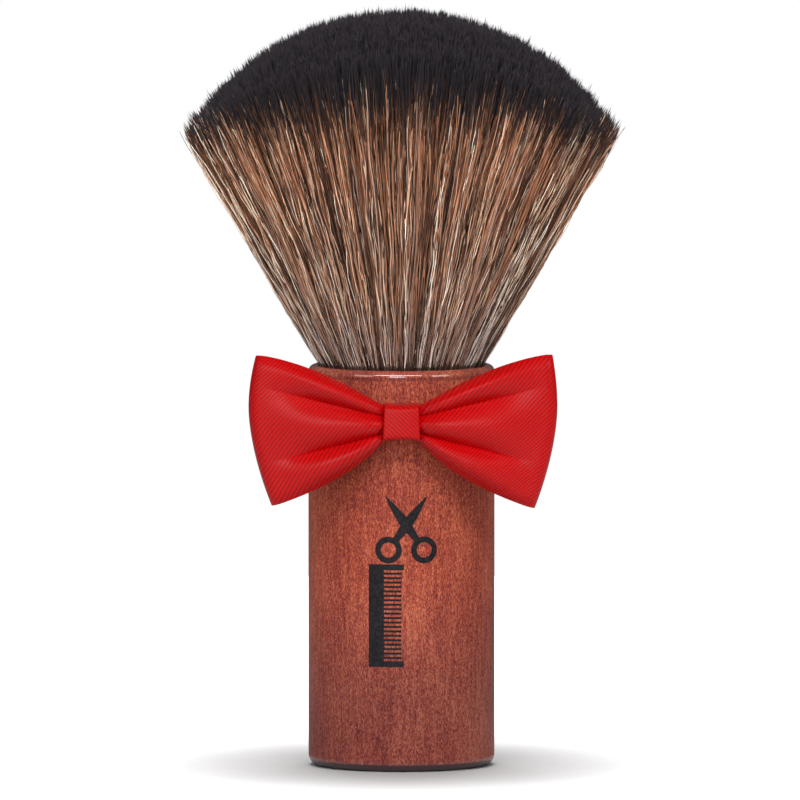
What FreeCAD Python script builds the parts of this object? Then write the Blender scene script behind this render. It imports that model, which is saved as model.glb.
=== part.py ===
"""Neck duster brush: a turned wooden handle, a bound knot of bristles and a bow tie on an elastic band.

Millimetres, +Z up. The origin is the centre of the handle's flat base, and the brush stands on it.
The bow faces -Y. Every sub-part is one labelled object of the document, sized from the sheet "dims".
"""

import FreeCAD, Part
import os

import Sketcher

Vector, Rotation = FreeCAD.Vector, FreeCAD.Rotation
X_AXIS, Y_AXIS, Z_AXIS = Vector(1, 0, 0), Vector(0, 1, 0), Vector(0, 0, 1)

DIMENSIONS = {
    # handle: a plain turned cylinder with a socket in its top
    "handle_radius": 19.0,
    "handle_height": 82.0,
    "base_round": 2.2,
    "lip_round": 1.3,
    "mouth_round": 0.4,
    "socket_radius": 17.0,
    "socket_depth": 26.0,
    # knot: glue, cup, resin, binding and the bristles' bound roots
    "knot_gap": 0.15,
    "fit_gap": 0.05,
    "glue_thickness": 0.4,
    "cup_wall": 0.5,
    "cup_floor": 0.6,
    "cup_height": 12.0,
    "resin_height": 5.0,
    "cord_radius": 0.5,
    "cord_turns": 5,
    # bristle fan: an oval cone, wider across than deep, whose tips lie on a ball
    "brush_height": 154.5,
    "fan_slope_across": 0.6,
    "fan_slope_deep": 0.195,
    "fan_cone_height": 80.0,
    "dome_radius": 51.0,
    "bend_radius": 17.0,
    "bend_gap": 0.4,
    "bend_limit": 20.0,
    "bend_margin": 3.0,
    "cutter_reach": 70.0,
    # elastic band round the handle, with its ends lapped and sewn at the back
    "band_height": 72.4,
    "band_width": 5.6,
    "band_inner_radius": 19.5,
    "band_thickness": 0.6,
    "lap_half_angle": 13.0,
    "stitch_radius": 0.15,
    "stitch_length": 0.75,
    "stitch_pitch": 1.0,
    "stitch_gap": 0.01,
    "stitch_row_angle": 8.0,
    "stitches_in_row": 5,
    # bow: one loop of ribbon, pinched in the middle; depths are measured forwards from the handle's axis
    "ribbon_thickness": 1.0,
    "bow_back": 20.6,
    "bow_front": 25.0,
    "bow_bulge": 26.5,
    "bow_bulge_across": 15.0,
    "fold_radius": 2.0,
    "loop_starts": 6.0,
    # the bow's front outline, from the middle of its knot
    "pinch_half_width": 3.9,
    "pinch_half_height": 2.7,
    "tip_top_across": 29.4,
    "tip_top_height": 13.6,
    "side_across": 31.3,
    "side_height": 3.5,
    "tip_low_across": 26.9,
    "tip_low_height": 17.2,
    "brow_across": 13.4,
    "brow_height": 9.3,
    "belly_across": 12.0,
    "belly_height": 11.3,
    "trim_spare": 2.0,
    # thread round the pinch, and the wrap that covers it
    "gather_radius": 0.15,
    "gather_gap": 0.03,
    "gather_corner": 0.2,
    "gather_pitch": 0.8,
    "gather_turns": 4,
    "wrap_half_width": 3.7,
    "wrap_half_height": 3.7,
    "wrap_front": 26.0,
    "wrap_thickness": 0.6,
    "wrap_back_inner": 19.13,
    "wrap_back_outer": 19.35,
    "wrap_round": 0.9,
}

doc = FreeCAD.newDocument("neck_duster")
sheet = doc.addObject("Spreadsheet::Sheet", "dims")
for row, (alias, value) in enumerate(DIMENSIONS.items(), start=1):
    sheet.set(f"A{row}", alias)
    sheet.set(f"B{row}", str(value))
    sheet.setAlias(f"B{row}", alias)
doc.recompute()


def size(alias):
    """A dimension's number, for the shapes that are worked out in code."""
    return float(sheet.get(alias))


# heights and radii that several sub-parts share, as expressions on the sheet
SOCKET_FLOOR = "(dims.handle_height - dims.socket_depth)"
CUP_FOOT = f"({SOCKET_FLOOR} + dims.glue_thickness)"
CUP_INSIDE = f"({CUP_FOOT} + dims.cup_floor)"
RESIN_TOP = f"({CUP_INSIDE} + dims.resin_height)"
CUP_TOP = f"({CUP_FOOT} + dims.cup_height)"
KNOT_RADIUS = "(dims.socket_radius - dims.knot_gap)"
CUP_INNER_RADIUS = f"({KNOT_RADIUS} - dims.cup_wall)"
CORD_RING_RADIUS = f"({CUP_INNER_RADIUS} - dims.fit_gap - dims.cord_radius)"
ROOT_RADIUS = f"({CORD_RING_RADIUS} - dims.cord_radius - dims.fit_gap)"
BAND_OUTER_RADIUS = "(dims.band_inner_radius + dims.band_thickness)"
LAP_OUTER_RADIUS = "(dims.band_inner_radius + 2 * dims.band_thickness)"
BAND_FOOT = "(dims.band_height - dims.band_width / 2)"
STITCH_RING_RADIUS = f"({LAP_OUTER_RADIUS} + dims.stitch_radius + dims.stitch_gap)"


# ---------- building blocks ----------


def bound(made, **expressions):
    """Binds an object's properties to expressions; x, y and z stand for its place."""
    for key, expression in expressions.items():
        path = f"Placement.Base.{key}" if key in ("x", "y", "z") else key
        made.setExpression(path, expression)
    return made


def cylinder(name, radius, height, foot):
    """An upright cylinder on the axis, standing at the height foot."""
    made = doc.addObject("Part::Cylinder", name)
    return bound(made, Radius=radius, Height=height, z=foot)


def boolean(kind, name, base, tool):
    """A Part::Cut, Part::Common or Part::Fuse of two objects."""
    made = doc.addObject(f"Part::{kind}", name)
    made.Base = base
    made.Tool = tool
    return made


def ring(name, outer_radius, inner_radius, height, foot):
    """An upright ring about the axis."""
    outside = cylinder(f"{name}_outside", outer_radius, height, foot)
    inside = cylinder(f"{name}_inside", inner_radius, height, foot)
    return boolean("Cut", name, outside, inside)


def group(name, members):
    """Separate solids that are one node."""
    made = doc.addObject("Part::Compound", name)
    made.Links = members
    return made


def turned(name, corners):
    """A body turned about +Z from a straight-edged half section, whose corners are pairs of expressions."""
    body = doc.addObject("PartDesign::Body", name)
    sketch = body.newObject("Sketcher::SketchObject", f"{name}_section")
    plane = next(feature for feature in body.Origin.OriginFeatures if feature.Role == "XZ_Plane")
    sketch.AttachmentSupport = [(plane, "")]
    sketch.MapMode = "FlatFace"
    count = len(corners)
    rough = [Vector(1 + i, 1 + i * i, 0) for i in range(count)]
    for i in range(count):
        sketch.addGeometry(Part.LineSegment(rough[i], rough[(i + 1) % count]), False)
    for i in range(count):
        sketch.addConstraint(Sketcher.Constraint("Coincident", i, 2, (i + 1) % count, 1))
    for i, (radius, height) in enumerate(corners):
        for kind, axis_line, expression in (("DistanceX", -2, radius), ("DistanceY", -1, height)):
            if expression == "0":
                sketch.addConstraint(Sketcher.Constraint("PointOnObject", i, 1, axis_line))
                continue
            label = f"corner_{i}_{kind}"
            dimension = sketch.addConstraint(Sketcher.Constraint(kind, -1, 1, i, 1, 1.0))
            sketch.renameConstraint(dimension, label)
            sketch.setExpression(f"Constraints.{label}", expression)
    revolution = body.newObject("PartDesign::Revolution", f"{name}_turned")
    revolution.Profile = sketch
    revolution.ReferenceAxis = (sketch, ["V_Axis"])
    revolution.Angle = 360.0
    doc.recompute()
    return body


def round_rim(body, name, radius, height, rounding):
    """Rounds a turned body's circular edge of that radius at that height, by the dimension rounding."""
    before = body.Tip
    rims = []
    for i, edge in enumerate(before.Shape.Edges, start=1):
        circular = isinstance(edge.Curve, Part.Circle)
        if circular and abs(edge.Curve.Radius - radius) < 1e-6 and abs(edge.Curve.Center.z - height) < 1e-6:
            rims.append(f"Edge{i}")
    fillet = body.newObject("PartDesign::Fillet", name)
    fillet.Base = (before, rims)
    fillet.setExpression("Radius", rounding)
    doc.recompute()


def closed_wire(start, *steps):
    """A closed wire from start; a step is a corner, or (via, end) for an arc through via."""
    edges = []
    here = start
    for step in (*steps, start):
        if isinstance(step, tuple):
            via, end = step
            edges.append(Part.Arc(here, via, end).toShape())
        else:
            end = step
            if not here.isEqual(end, 1e-9):
                edges.append(Part.makeLine(here, end))
        here = end
    return Part.Wire(edges)


# ---------- handle ----------

handle = turned(
    "handle",
    [
        ("0", "0"),
        ("dims.handle_radius", "0"),
        ("dims.handle_radius", "dims.handle_height"),
        ("dims.socket_radius", "dims.handle_height"),
        ("dims.socket_radius", SOCKET_FLOOR),
        ("0", SOCKET_FLOOR),
    ],
)
round_rim(handle, "base_rounding", size("handle_radius"), 0.0, "dims.base_round")
round_rim(handle, "lip_rounding", size("handle_radius"), size("handle_height"), "dims.lip_round")
round_rim(handle, "mouth_rounding", size("socket_radius"), size("handle_height"), "dims.mouth_round")

# ---------- knot: what holds the bristles in the socket ----------

glue_bed = cylinder("glue_bed", KNOT_RADIUS, "dims.glue_thickness", SOCKET_FLOOR)

cup_blank = cylinder("cup_blank", KNOT_RADIUS, "dims.cup_height", CUP_FOOT)
cup_hollow = cylinder("cup_hollow", CUP_INNER_RADIUS, "dims.cup_height", CUP_INSIDE)
knot_cup = boolean("Cut", "knot_cup", cup_blank, cup_hollow)

resin_plug = cylinder("resin_plug", f"{CUP_INNER_RADIUS} - dims.fit_gap", "dims.resin_height", CUP_INSIDE)


def cord_turn(number):
    """One turn of the binding, counted up from the resin."""
    made = doc.addObject("Part::Torus", f"cord_turn_{number + 1}")
    first = f"{RESIN_TOP} + dims.cord_radius + dims.fit_gap"
    height = f"{first} + {number} * (2 * dims.cord_radius + dims.fit_gap)"
    return bound(made, Radius1=CORD_RING_RADIUS, Radius2="dims.cord_radius", z=height)


binding_cord = group("binding_cord", [cord_turn(number) for number in range(int(size("cord_turns")))])

# ---------- bristles: an oval cone cut by a ball, parted where the free ends bend ----------

mouth_ring = bound(doc.addObject("Part::Circle", "fan_foot"), Radius=KNOT_RADIUS, z="dims.handle_height")
wide_ring = bound(
    doc.addObject("Part::Ellipse", "fan_top"),
    MajorRadius=f"{KNOT_RADIUS} + dims.fan_slope_across * dims.fan_cone_height",
    MinorRadius=f"{KNOT_RADIUS} + dims.fan_slope_deep * dims.fan_cone_height",
    z="dims.handle_height + dims.fan_cone_height",
)
fan_cone = doc.addObject("Part::Loft", "fan_cone")
fan_cone.Sections = [mouth_ring, wide_ring]
fan_cone.Solid = True
fan_cone.Ruled = True
fan_dome = bound(
    doc.addObject("Part::Sphere", "fan_dome"),
    Radius="dims.dome_radius",
    z="dims.brush_height - dims.dome_radius",
)
tuft = boolean("Common", "tuft", fan_cone, fan_dome)


def bend_drum(name, radius):
    """A cylinder along X through the point where the fan bends."""
    made = doc.addObject("Part::Cylinder", name)
    made.Placement.Rotation = Rotation(Y_AXIS, 90)
    length = "2 * dims.cutter_reach"
    return bound(made, Radius=radius, Height=length, x="-dims.cutter_reach", z="dims.handle_height")


def lip_clearance(name):
    """A sector of such a cylinder, from straight down round the back until just above the bend's limit."""
    made = bend_drum(name, "dims.cutter_reach")
    return bound(made, Angle="90 + dims.bend_limit + dims.bend_margin")


roots_bound = cylinder("roots_bound", ROOT_RADIUS, f"{CUP_TOP} - {RESIN_TOP}", RESIN_TOP)
roots_free = cylinder("roots_free", KNOT_RADIUS, f"dims.handle_height - {CUP_TOP}", CUP_TOP)
roots_stem = boolean("Fuse", "roots_stem", roots_free, roots_bound)
roots_head = boolean("Common", "roots_head", tuft, bend_drum("roots_round", "dims.bend_radius"))
bristle_roots = boolean("Fuse", "bristle_roots", roots_stem, roots_head)

back_clearance = lip_clearance("back_clearance")
front_clearance = lip_clearance("front_clearance")
front_clearance.Placement.Rotation = Rotation(Z_AXIS, 180) * Rotation(Y_AXIS, 90)
front_clearance.setExpression("Placement.Base.x", "dims.cutter_reach")
fan_round = bend_drum("fan_round", "dims.bend_radius + dims.bend_gap")
fan_over_roots = boolean("Cut", "fan_over_roots", tuft, fan_round)
fan_clear_behind = boolean("Cut", "fan_clear_behind", fan_over_roots, back_clearance)
bristle_fan = boolean("Cut", "bristle_fan", fan_clear_behind, front_clearance)

# ---------- elastic band, lapped and sewn at the back ----------

band_ring = ring("band_ring", BAND_OUTER_RADIUS, "dims.band_inner_radius", "dims.band_width", BAND_FOOT)
lap_ring = ring("lap_ring", LAP_OUTER_RADIUS, BAND_OUTER_RADIUS, "dims.band_width", BAND_FOOT)
lap_sector = cylinder("lap_sector", "dims.cutter_reach", "dims.band_width", BAND_FOOT)
lap_sector.Placement.Rotation = Rotation(Z_AXIS, 90)
lap_sector.setExpression("Placement.Rotation.Angle", "90 - dims.lap_half_angle")
lap_sector.setExpression("Angle", "2 * dims.lap_half_angle")
band_lap = boolean("Common", "band_lap", lap_ring, lap_sector)
neck_band = boolean("Fuse", "neck_band", band_ring, band_lap)
neck_band.Refine = True


def stitch(side, number):
    """One upright stitch on the lap, in the row on that side of its middle."""
    turn = f"({side} * dims.stitch_row_angle * 1deg)"
    middle = f"dims.band_height + ({number} - (dims.stitches_in_row - 1) / 2) * dims.stitch_pitch"
    return bound(
        doc.addObject("Part::Cylinder", "stitch"),
        Radius="dims.stitch_radius",
        Height="dims.stitch_length",
        x=f"{STITCH_RING_RADIUS} * sin({turn})",
        y=f"{STITCH_RING_RADIUS} * cos({turn})",
        z=f"{middle} - dims.stitch_length / 2",
    )


stitches = [stitch(side, number) for side in (-1, 1) for number in range(int(size("stitches_in_row")))]
band_stitching = group("band_stitching", stitches)

# ---------- bow ----------


def fold_reach(height):
    """How far out a wing's fold stands, at a height above the knot's middle: straight to each tip."""
    tip_across, tip_height = size("tip_low_across"), -size("tip_low_height")
    if height > size("side_height"):
        tip_across, tip_height = size("tip_top_across"), size("tip_top_height")
    along = (height - size("side_height")) / (tip_height - size("side_height"))
    return size("side_across") + along * (tip_across - size("side_across"))


def wing_section(height, start, inset):
    """One level of the right wing's loop, seen from above: flat under the wrap, then bulging to its fold."""

    def at(across, depth):
        return Vector(across, -depth, size("band_height") + height)

    fold = size("fold_radius")
    fold_middle = fold_reach(height) - fold
    fold_depth = size("bow_back") + fold
    front_crown = at(size("bow_bulge_across"), size("bow_bulge") - inset)
    front_end = at(fold_middle, fold_depth + fold - inset)
    fold_crown = at(fold_middle + fold - inset, fold_depth)
    back_end = at(fold_middle, size("bow_back") + inset)
    front = size("bow_front") - inset
    return closed_wire(
        at(start, size("bow_back") + inset),
        at(start, front),
        at(max(start, size("pinch_half_width")), front),
        (front_crown, front_end),
        (fold_crown, back_end),
    )


def wing_block(start, inset):
    """The right wing's loop as a solid, drawn a little past both tips."""
    low = -size("tip_low_height") - size("trim_spare")
    top = size("tip_top_height") + size("trim_spare")
    sections = [wing_section(height, start, inset) for height in (low, size("side_height"), top)]
    return Part.makeLoft(sections, True, True)


def wing_outline():
    """The right half of the bow's front outline, left open past the fold."""

    def at(across, up):
        return Vector(across, 0, size("band_height") + up)

    spare = size("trim_spare")
    tip_top = (size("tip_top_across"), size("tip_top_height"))
    tip_low = (size("tip_low_across"), -size("tip_low_height"))
    pinch_across, pinch_up = size("pinch_half_width"), size("pinch_half_height")
    beyond = size("side_across") + spare
    return closed_wire(
        at(0, pinch_up),
        at(pinch_across, pinch_up),
        (at(size("brow_across"), size("brow_height")), at(*tip_top)),
        at(beyond, tip_top[1] + spare),
        at(beyond, tip_low[1] - spare),
        at(*tip_low),
        (at(size("belly_across"), -size("belly_height")), at(pinch_across, -pinch_up)),
        at(0, -pinch_up),
    )


def bow_shape():
    """Both wings and the pinched strap between them."""
    loop = wing_block(0, 0).cut(wing_block(size("loop_starts"), size("ribbon_thickness")))
    outline = Part.Face(wing_outline()).extrude(Vector(0, -2 * size("bow_bulge"), 0))
    right = loop.common(outline)
    left = right.mirror(Vector(0, 0, 0), X_AXIS)
    return right.fuse(left).removeSplitter()


bow_loop = doc.addObject("Part::Feature", "bow_loop")
bow_loop.Shape = bow_shape()


def gather_turn(across):
    """One turn of thread round the pinch: a rectangle with rounded corners, that far from the middle."""
    off = size("gather_radius") + size("gather_gap")
    back, front = size("bow_back") - off, size("bow_front") + off
    half = size("pinch_half_height") + off
    corner = size("gather_corner")
    slant = corner * (1 - 0.5**0.5)

    def at(depth, up):
        return Vector(across, -depth, size("band_height") + up)

    start = at(back, half - corner)
    path = closed_wire(
        start,
        at(back, corner - half),
        (at(back + slant, slant - half), at(back + corner, -half)),
        at(front - corner, -half),
        (at(front - slant, slant - half), at(front, corner - half)),
        at(front, half - corner),
        (at(front - slant, half - slant), at(front - corner, half)),
        at(back + corner, half),
        (at(back + slant, half - slant), start),
    )
    section = Part.Wire(Part.makeCircle(size("gather_radius"), start, Z_AXIS))
    return path.makePipeShell([section], True, False)


first_turn = -(size("gather_turns") - 1) / 2 * size("gather_pitch")
gather_turns = []
for number in range(int(size("gather_turns"))):
    gather_turns.append(gather_turn(first_turn + number * size("gather_pitch")))
gather_thread = doc.addObject("Part::Feature", "gather_thread")
gather_thread.Shape = Part.makeCompound(gather_turns)

# ---------- wrap over the pinch, closed behind the band ----------


def wrap_box(name, half_width, inset):
    """A block from the handle's axis to the wrap's front, taken in by inset above, below and in front."""
    return bound(
        doc.addObject("Part::Box", name),
        Length=f"2 * {half_width}",
        Width=f"dims.wrap_front - {inset}",
        Height=f"2 * (dims.wrap_half_height - {inset})",
        x=f"-{half_width}",
        y=f"{inset} - dims.wrap_front",
        z=f"dims.band_height - dims.wrap_half_height + {inset}",
    )


def wrap_drum(name, radius):
    """An upright cylinder on the axis that passes right through the wrap's height."""
    return cylinder(name, radius, "4 * dims.wrap_half_height", "dims.band_height - 2 * dims.wrap_half_height")


wrap_block = wrap_box("wrap_block", "dims.wrap_half_width", "0")
doc.recompute()
wrap_rounded = doc.addObject("Part::Fillet", "wrap_rounded")
wrap_rounded.Base = wrap_block
front_rims = []
for number, edge in enumerate(wrap_block.Shape.Edges, start=1):
    middle = edge.CenterOfMass
    if abs(middle.y + size("wrap_front")) < 1e-6 and abs(middle.x) < 1e-6:
        front_rims.append((number, size("wrap_round"), size("wrap_round")))
wrap_rounded.Edges = front_rims

wrap_inside = wrap_box("wrap_inside", "(2 * dims.wrap_half_width)", "dims.wrap_thickness")
wrap_back_outside = wrap_drum("wrap_back_outside", "dims.wrap_back_outer")
wrap_back_inside = wrap_drum("wrap_back_inside", "dims.wrap_back_inner")
wrap_hollow = boolean("Cut", "wrap_hollow", wrap_inside, wrap_back_outside)
wrap_shell = boolean("Cut", "wrap_shell", wrap_rounded, wrap_hollow)
knot_wrap = boolean("Cut", "knot_wrap", wrap_shell, wrap_back_inside)

# ---------- checks and export ----------

SUB_PARTS = [
    handle,
    glue_bed,
    knot_cup,
    resin_plug,
    binding_cord,
    bristle_roots,
    bristle_fan,
    neck_band,
    band_stitching,
    bow_loop,
    gather_thread,
    knot_wrap,
]

doc.recompute()
broken = [made.Name for made in doc.Objects if {"Invalid", "Error"} & set(made.State)]
if broken:
    raise SystemExit(f"objects failed to build: {broken}")
for sub_part in SUB_PARTS:
    shape = sub_part.Shape
    if shape.isNull() or not shape.isValid() or not shape.Solids:
        raise SystemExit(f"{sub_part.Label} has no valid solid")

os.makedirs("parts", exist_ok=True)
for sub_part in SUB_PARTS:
    sub_part.Shape.exportStep(os.path.join("parts", f"{sub_part.Label}.step"))
    print(f"{sub_part.Label}: {len(sub_part.Shape.Solids)} solid(s), {sub_part.Shape.Volume:.1f} mm3")
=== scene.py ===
"""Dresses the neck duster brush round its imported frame: handle, bristles, bow, elastic and printed mark.

Metres, +Z up, the bow towards -Y. Every finished piece sits at the origin with its place in its mesh.
"""

import logging
import math
from dataclasses import dataclass, field, fields
from enum import Enum
from typing import Any, Iterable, Sequence

import bpy
import numpy as np
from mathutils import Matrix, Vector
from mathutils.kdtree import KDTree

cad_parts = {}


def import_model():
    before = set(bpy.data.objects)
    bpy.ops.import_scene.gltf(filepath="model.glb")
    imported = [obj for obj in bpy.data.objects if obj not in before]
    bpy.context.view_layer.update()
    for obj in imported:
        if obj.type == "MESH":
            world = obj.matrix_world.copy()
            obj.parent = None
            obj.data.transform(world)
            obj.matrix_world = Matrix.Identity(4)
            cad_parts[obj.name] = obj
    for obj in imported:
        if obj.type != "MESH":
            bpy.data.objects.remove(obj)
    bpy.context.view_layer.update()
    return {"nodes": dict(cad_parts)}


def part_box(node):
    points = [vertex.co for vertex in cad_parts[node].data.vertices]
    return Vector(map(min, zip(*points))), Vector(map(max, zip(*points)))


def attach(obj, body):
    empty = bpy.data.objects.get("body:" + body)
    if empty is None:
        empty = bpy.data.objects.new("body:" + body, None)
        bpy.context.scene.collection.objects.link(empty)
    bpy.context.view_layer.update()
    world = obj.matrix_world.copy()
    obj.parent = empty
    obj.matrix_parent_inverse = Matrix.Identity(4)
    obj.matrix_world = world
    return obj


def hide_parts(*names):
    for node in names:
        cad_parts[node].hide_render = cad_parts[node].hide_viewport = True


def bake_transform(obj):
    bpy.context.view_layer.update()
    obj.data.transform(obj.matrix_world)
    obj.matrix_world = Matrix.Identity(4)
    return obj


log = logging.getLogger("neck_duster")

MM = 0.001
MERGE = 1e-6
TURN = 2 * math.pi
GOLDEN_ANGLE = math.pi * (3 - math.sqrt(5))
CLOTH_UV = "cloth"
BOW_SAG = 0.4
BOW_BULGE = 1.6
CUP_CLEARANCE = 0.15

Colour = tuple[float, float, float]
Pair = tuple[float, float]
Array = np.ndarray
Piece = bpy.types.Object
Socket = bpy.types.NodeSocket
Material = bpy.types.Material


def ink_to_light(red: float, green: float, blue: float) -> Colour:
    """Turns a colour as a paint chart gives it, 0 to 255, into the linear light that a shader takes.

    Args:
        red: red from 0 to 255.
        green: green from 0 to 255.
        blue: blue from 0 to 255.

    Returns:
        The linear colour.
    """
    def linear(value: float) -> float:
        """One channel."""
        share = value / 255
        return share / 12.92 if share <= 0.04045 else ((share + 0.055) / 1.055) ** 2.4

    return (linear(red), linear(green), linear(blue))


def ease(low: float, high: float, value: Any) -> Any:
    """A smooth step from 0 at low to 1 at high, of a number or an array."""
    share = np.clip((value - low) / (high - low), 0.0, 1.0)
    return share * share * (3 - 2 * share)


def spread(pair: Pair, share: Any) -> Any:
    """A pair's first number, and that share of its second."""
    return pair[0] + pair[1] * share


# ---------------------------------------------------------------- shaders


class Signal:
    """A number that flows between shader nodes, so that shader maths reads as Python."""

    def __init__(self, shader: "Shader", socket: Socket) -> None:
        """Wraps an output socket of a shader's node."""
        self.shader = shader
        self.socket = socket

    def maths(self, operation: str, *others: Any, first: Any = None) -> "Signal":
        """Adds a Math node.

        Args:
            operation: the node's operation.
            others: the inputs after this one.
            first: what takes this signal's place as first input, for the reflected forms.

        Returns:
            The result.
        """
        values = [self, *others] if first is None else [first, self, *others]
        node = self.shader.node("ShaderNodeMath", {"operation": operation}, dict(enumerate(values)))
        return Signal(self.shader, node.outputs[0])

    def __add__(self, other: Any) -> "Signal":
        """Sum."""
        return self.maths("ADD", other)

    def __radd__(self, other: Any) -> "Signal":
        """Sum with a number first."""
        return self.maths("ADD", other)

    def __sub__(self, other: Any) -> "Signal":
        """Difference."""
        return self.maths("SUBTRACT", other)

    def __rsub__(self, other: Any) -> "Signal":
        """Difference from a number."""
        return self.maths("SUBTRACT", first=other)

    def __mul__(self, other: Any) -> "Signal":
        """Product."""
        return self.maths("MULTIPLY", other)

    def __rmul__(self, other: Any) -> "Signal":
        """Product with a number first."""
        return self.maths("MULTIPLY", other)

    def wave(self) -> "Signal":
        """A sine of this many turns, from 0 to 1."""
        return (self * TURN).maths("SINE") * 0.5 + 0.5

    def step(self, low: float, high: float) -> "Signal":
        """A smooth step from 0 at low to 1 at high; the ends may be given falling.

        Args:
            low: where the step starts.
            high: where it ends.

        Returns:
            The step.
        """
        inputs = {"Value": self, "From Min": low, "From Max": high}
        node = self.shader.node("ShaderNodeMapRange", {"interpolation_type": "SMOOTHSTEP"}, inputs)
        return Signal(self.shader, node.outputs[0])


class Shader:
    """One material's node tree, with a Principled shader on its output."""

    def __init__(self, name: str, **constants: Any) -> None:
        """Starts a material.

        Args:
            name: the material's name.
            constants: the shader's even values, by socket name with _ for a space.
        """
        self.material = bpy.data.materials.new(name)
        self.material.use_nodes = True
        self.tree = self.material.node_tree
        self.surface = self.tree.nodes["Principled BSDF"]
        for socket, value in constants.items():
            given = (*value, 1.0) if isinstance(value, tuple) and len(value) == 3 else value
            self.surface.inputs[socket.replace("_", " ")].default_value = given

    def node(self, kind: str, settings: dict[str, Any], inputs: dict[Any, Any]) -> bpy.types.Node:
        """Adds a node.

        Args:
            kind: the node's type.
            settings: its own settings, with stops for a colour ramp's (place, colour) pairs.
            inputs: values or links by socket name or number.

        Returns:
            The node.
        """
        made = self.tree.nodes.new(kind)
        for key, value in settings.items():
            if key == "stops":
                self._set_stops(made.color_ramp, value)
            else:
                setattr(made, key, value)
        for key, value in inputs.items():
            self.feed(made.inputs[key], value)
        return made

    def feed(self, socket: Socket, value: Any) -> None:
        """Links a signal or socket to a socket, or sets its value.

        Args:
            socket: the socket.
            value: a signal, a socket, a colour or a number.
        """
        if isinstance(value, Signal):
            self.tree.links.new(value.socket, socket)
        elif isinstance(value, Socket):
            self.tree.links.new(value, socket)
        elif isinstance(value, tuple) and len(value) == 3 and socket.type == "RGBA":
            socket.default_value = (*value, 1.0)
        else:
            socket.default_value = value

    @staticmethod
    def _set_stops(ramp: bpy.types.ColorRamp, stops: Sequence[tuple[float, Colour]]) -> None:
        """Gives a colour ramp its stops.

        Args:
            ramp: the colour ramp.
            stops: its places and colours.
        """
        while len(ramp.elements) < len(stops):
            ramp.elements.new(0.5)
        for element, (place, colour) in zip(ramp.elements, stops):
            element.position = place
            element.color = (*colour, 1.0)

    def set(self, socket: str, value: Any) -> None:
        """Feeds one of the shader's own sockets."""
        self.feed(self.surface.inputs[socket], value)

    def place(self, scale: Sequence[float] = (1, 1, 1), turn: float = 0.0) -> Socket:
        """Object coordinates, scaled and turned about Z.

        Args:
            scale: multiplies the metres on each axis.
            turn: radians about Z.

        Returns:
            The coordinates.
        """
        source = self.node("ShaderNodeTexCoord", {}, {}).outputs["Object"]
        inputs = {"Vector": source, "Scale": tuple(scale), "Rotation": (0.0, 0.0, turn)}
        return self.node("ShaderNodeMapping", {}, inputs).outputs[0]

    def axes(self, source: Socket) -> tuple[Signal, Signal, Signal]:
        """The three numbers of a vector."""
        node = self.node("ShaderNodeSeparateXYZ", {}, {0: source})
        return tuple(Signal(self, output) for output in node.outputs)

    def object_axes(self) -> tuple[Signal, Signal, Signal]:
        """Object coordinates in millimetres, as three signals."""
        return self.axes(self.place((1 / MM, 1 / MM, 1 / MM)))

    def cloth_axes(self) -> tuple[Signal, Signal]:
        """The cloth's own coordinates in millimetres, as two signals.

        Returns:
            How far along the ribbon, and over its width.
        """
        source = self.node("ShaderNodeUVMap", {"uv_map": CLOTH_UV}, {}).outputs[0]
        across, along, _ = self.axes(source)
        return across * (1 / MM), along * (1 / MM)

    def noise(self, place: Socket, detail: float = 2.0, rough: float = 0.5) -> Signal:
        """Soft noise about 0.5, of that many octaves, the fine ones as strong as rough says."""
        inputs = {"Vector": place, "Scale": 1.0, "Detail": detail, "Roughness": rough}
        return Signal(self, self.node("ShaderNodeTexNoise", {}, inputs).outputs[0])

    def ramp(self, signal: Signal, *stops: tuple[float, Colour]) -> Socket:
        """A colour ramp."""
        return self.node("ShaderNodeValToRGB", {"stops": stops}, {0: signal}).outputs[0]

    def mix(self, share: Any, low: Any, high: Any, blend: str = "MIX") -> Socket:
        """Two colours mixed by a share of the second."""
        settings = {"data_type": "RGBA", "blend_type": blend}
        return self.node("ShaderNodeMix", settings, {"Factor": share, 6: low, 7: high}).outputs[2]

    def finish(
        self, colour: Any, roughness: Any, height: Signal, millimetres: float, strength: float
    ) -> Material:
        """Feeds the colour, the roughness and the bump.

        Args:
            colour: the base colour.
            roughness: the roughness.
            height: the bump, from 0 to 1.
            millimetres: how high 1 stands.
            strength: the bump's strength.

        Returns:
            The material.
        """
        inputs = {"Height": height, "Distance": millimetres * MM, "Strength": strength}
        normal = self.node("ShaderNodeBump", {}, inputs).outputs[0]
        for socket, value in (("Base Color", colour), ("Roughness", roughness), ("Normal", normal)):
            self.set(socket, value)
        return self.material


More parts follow.
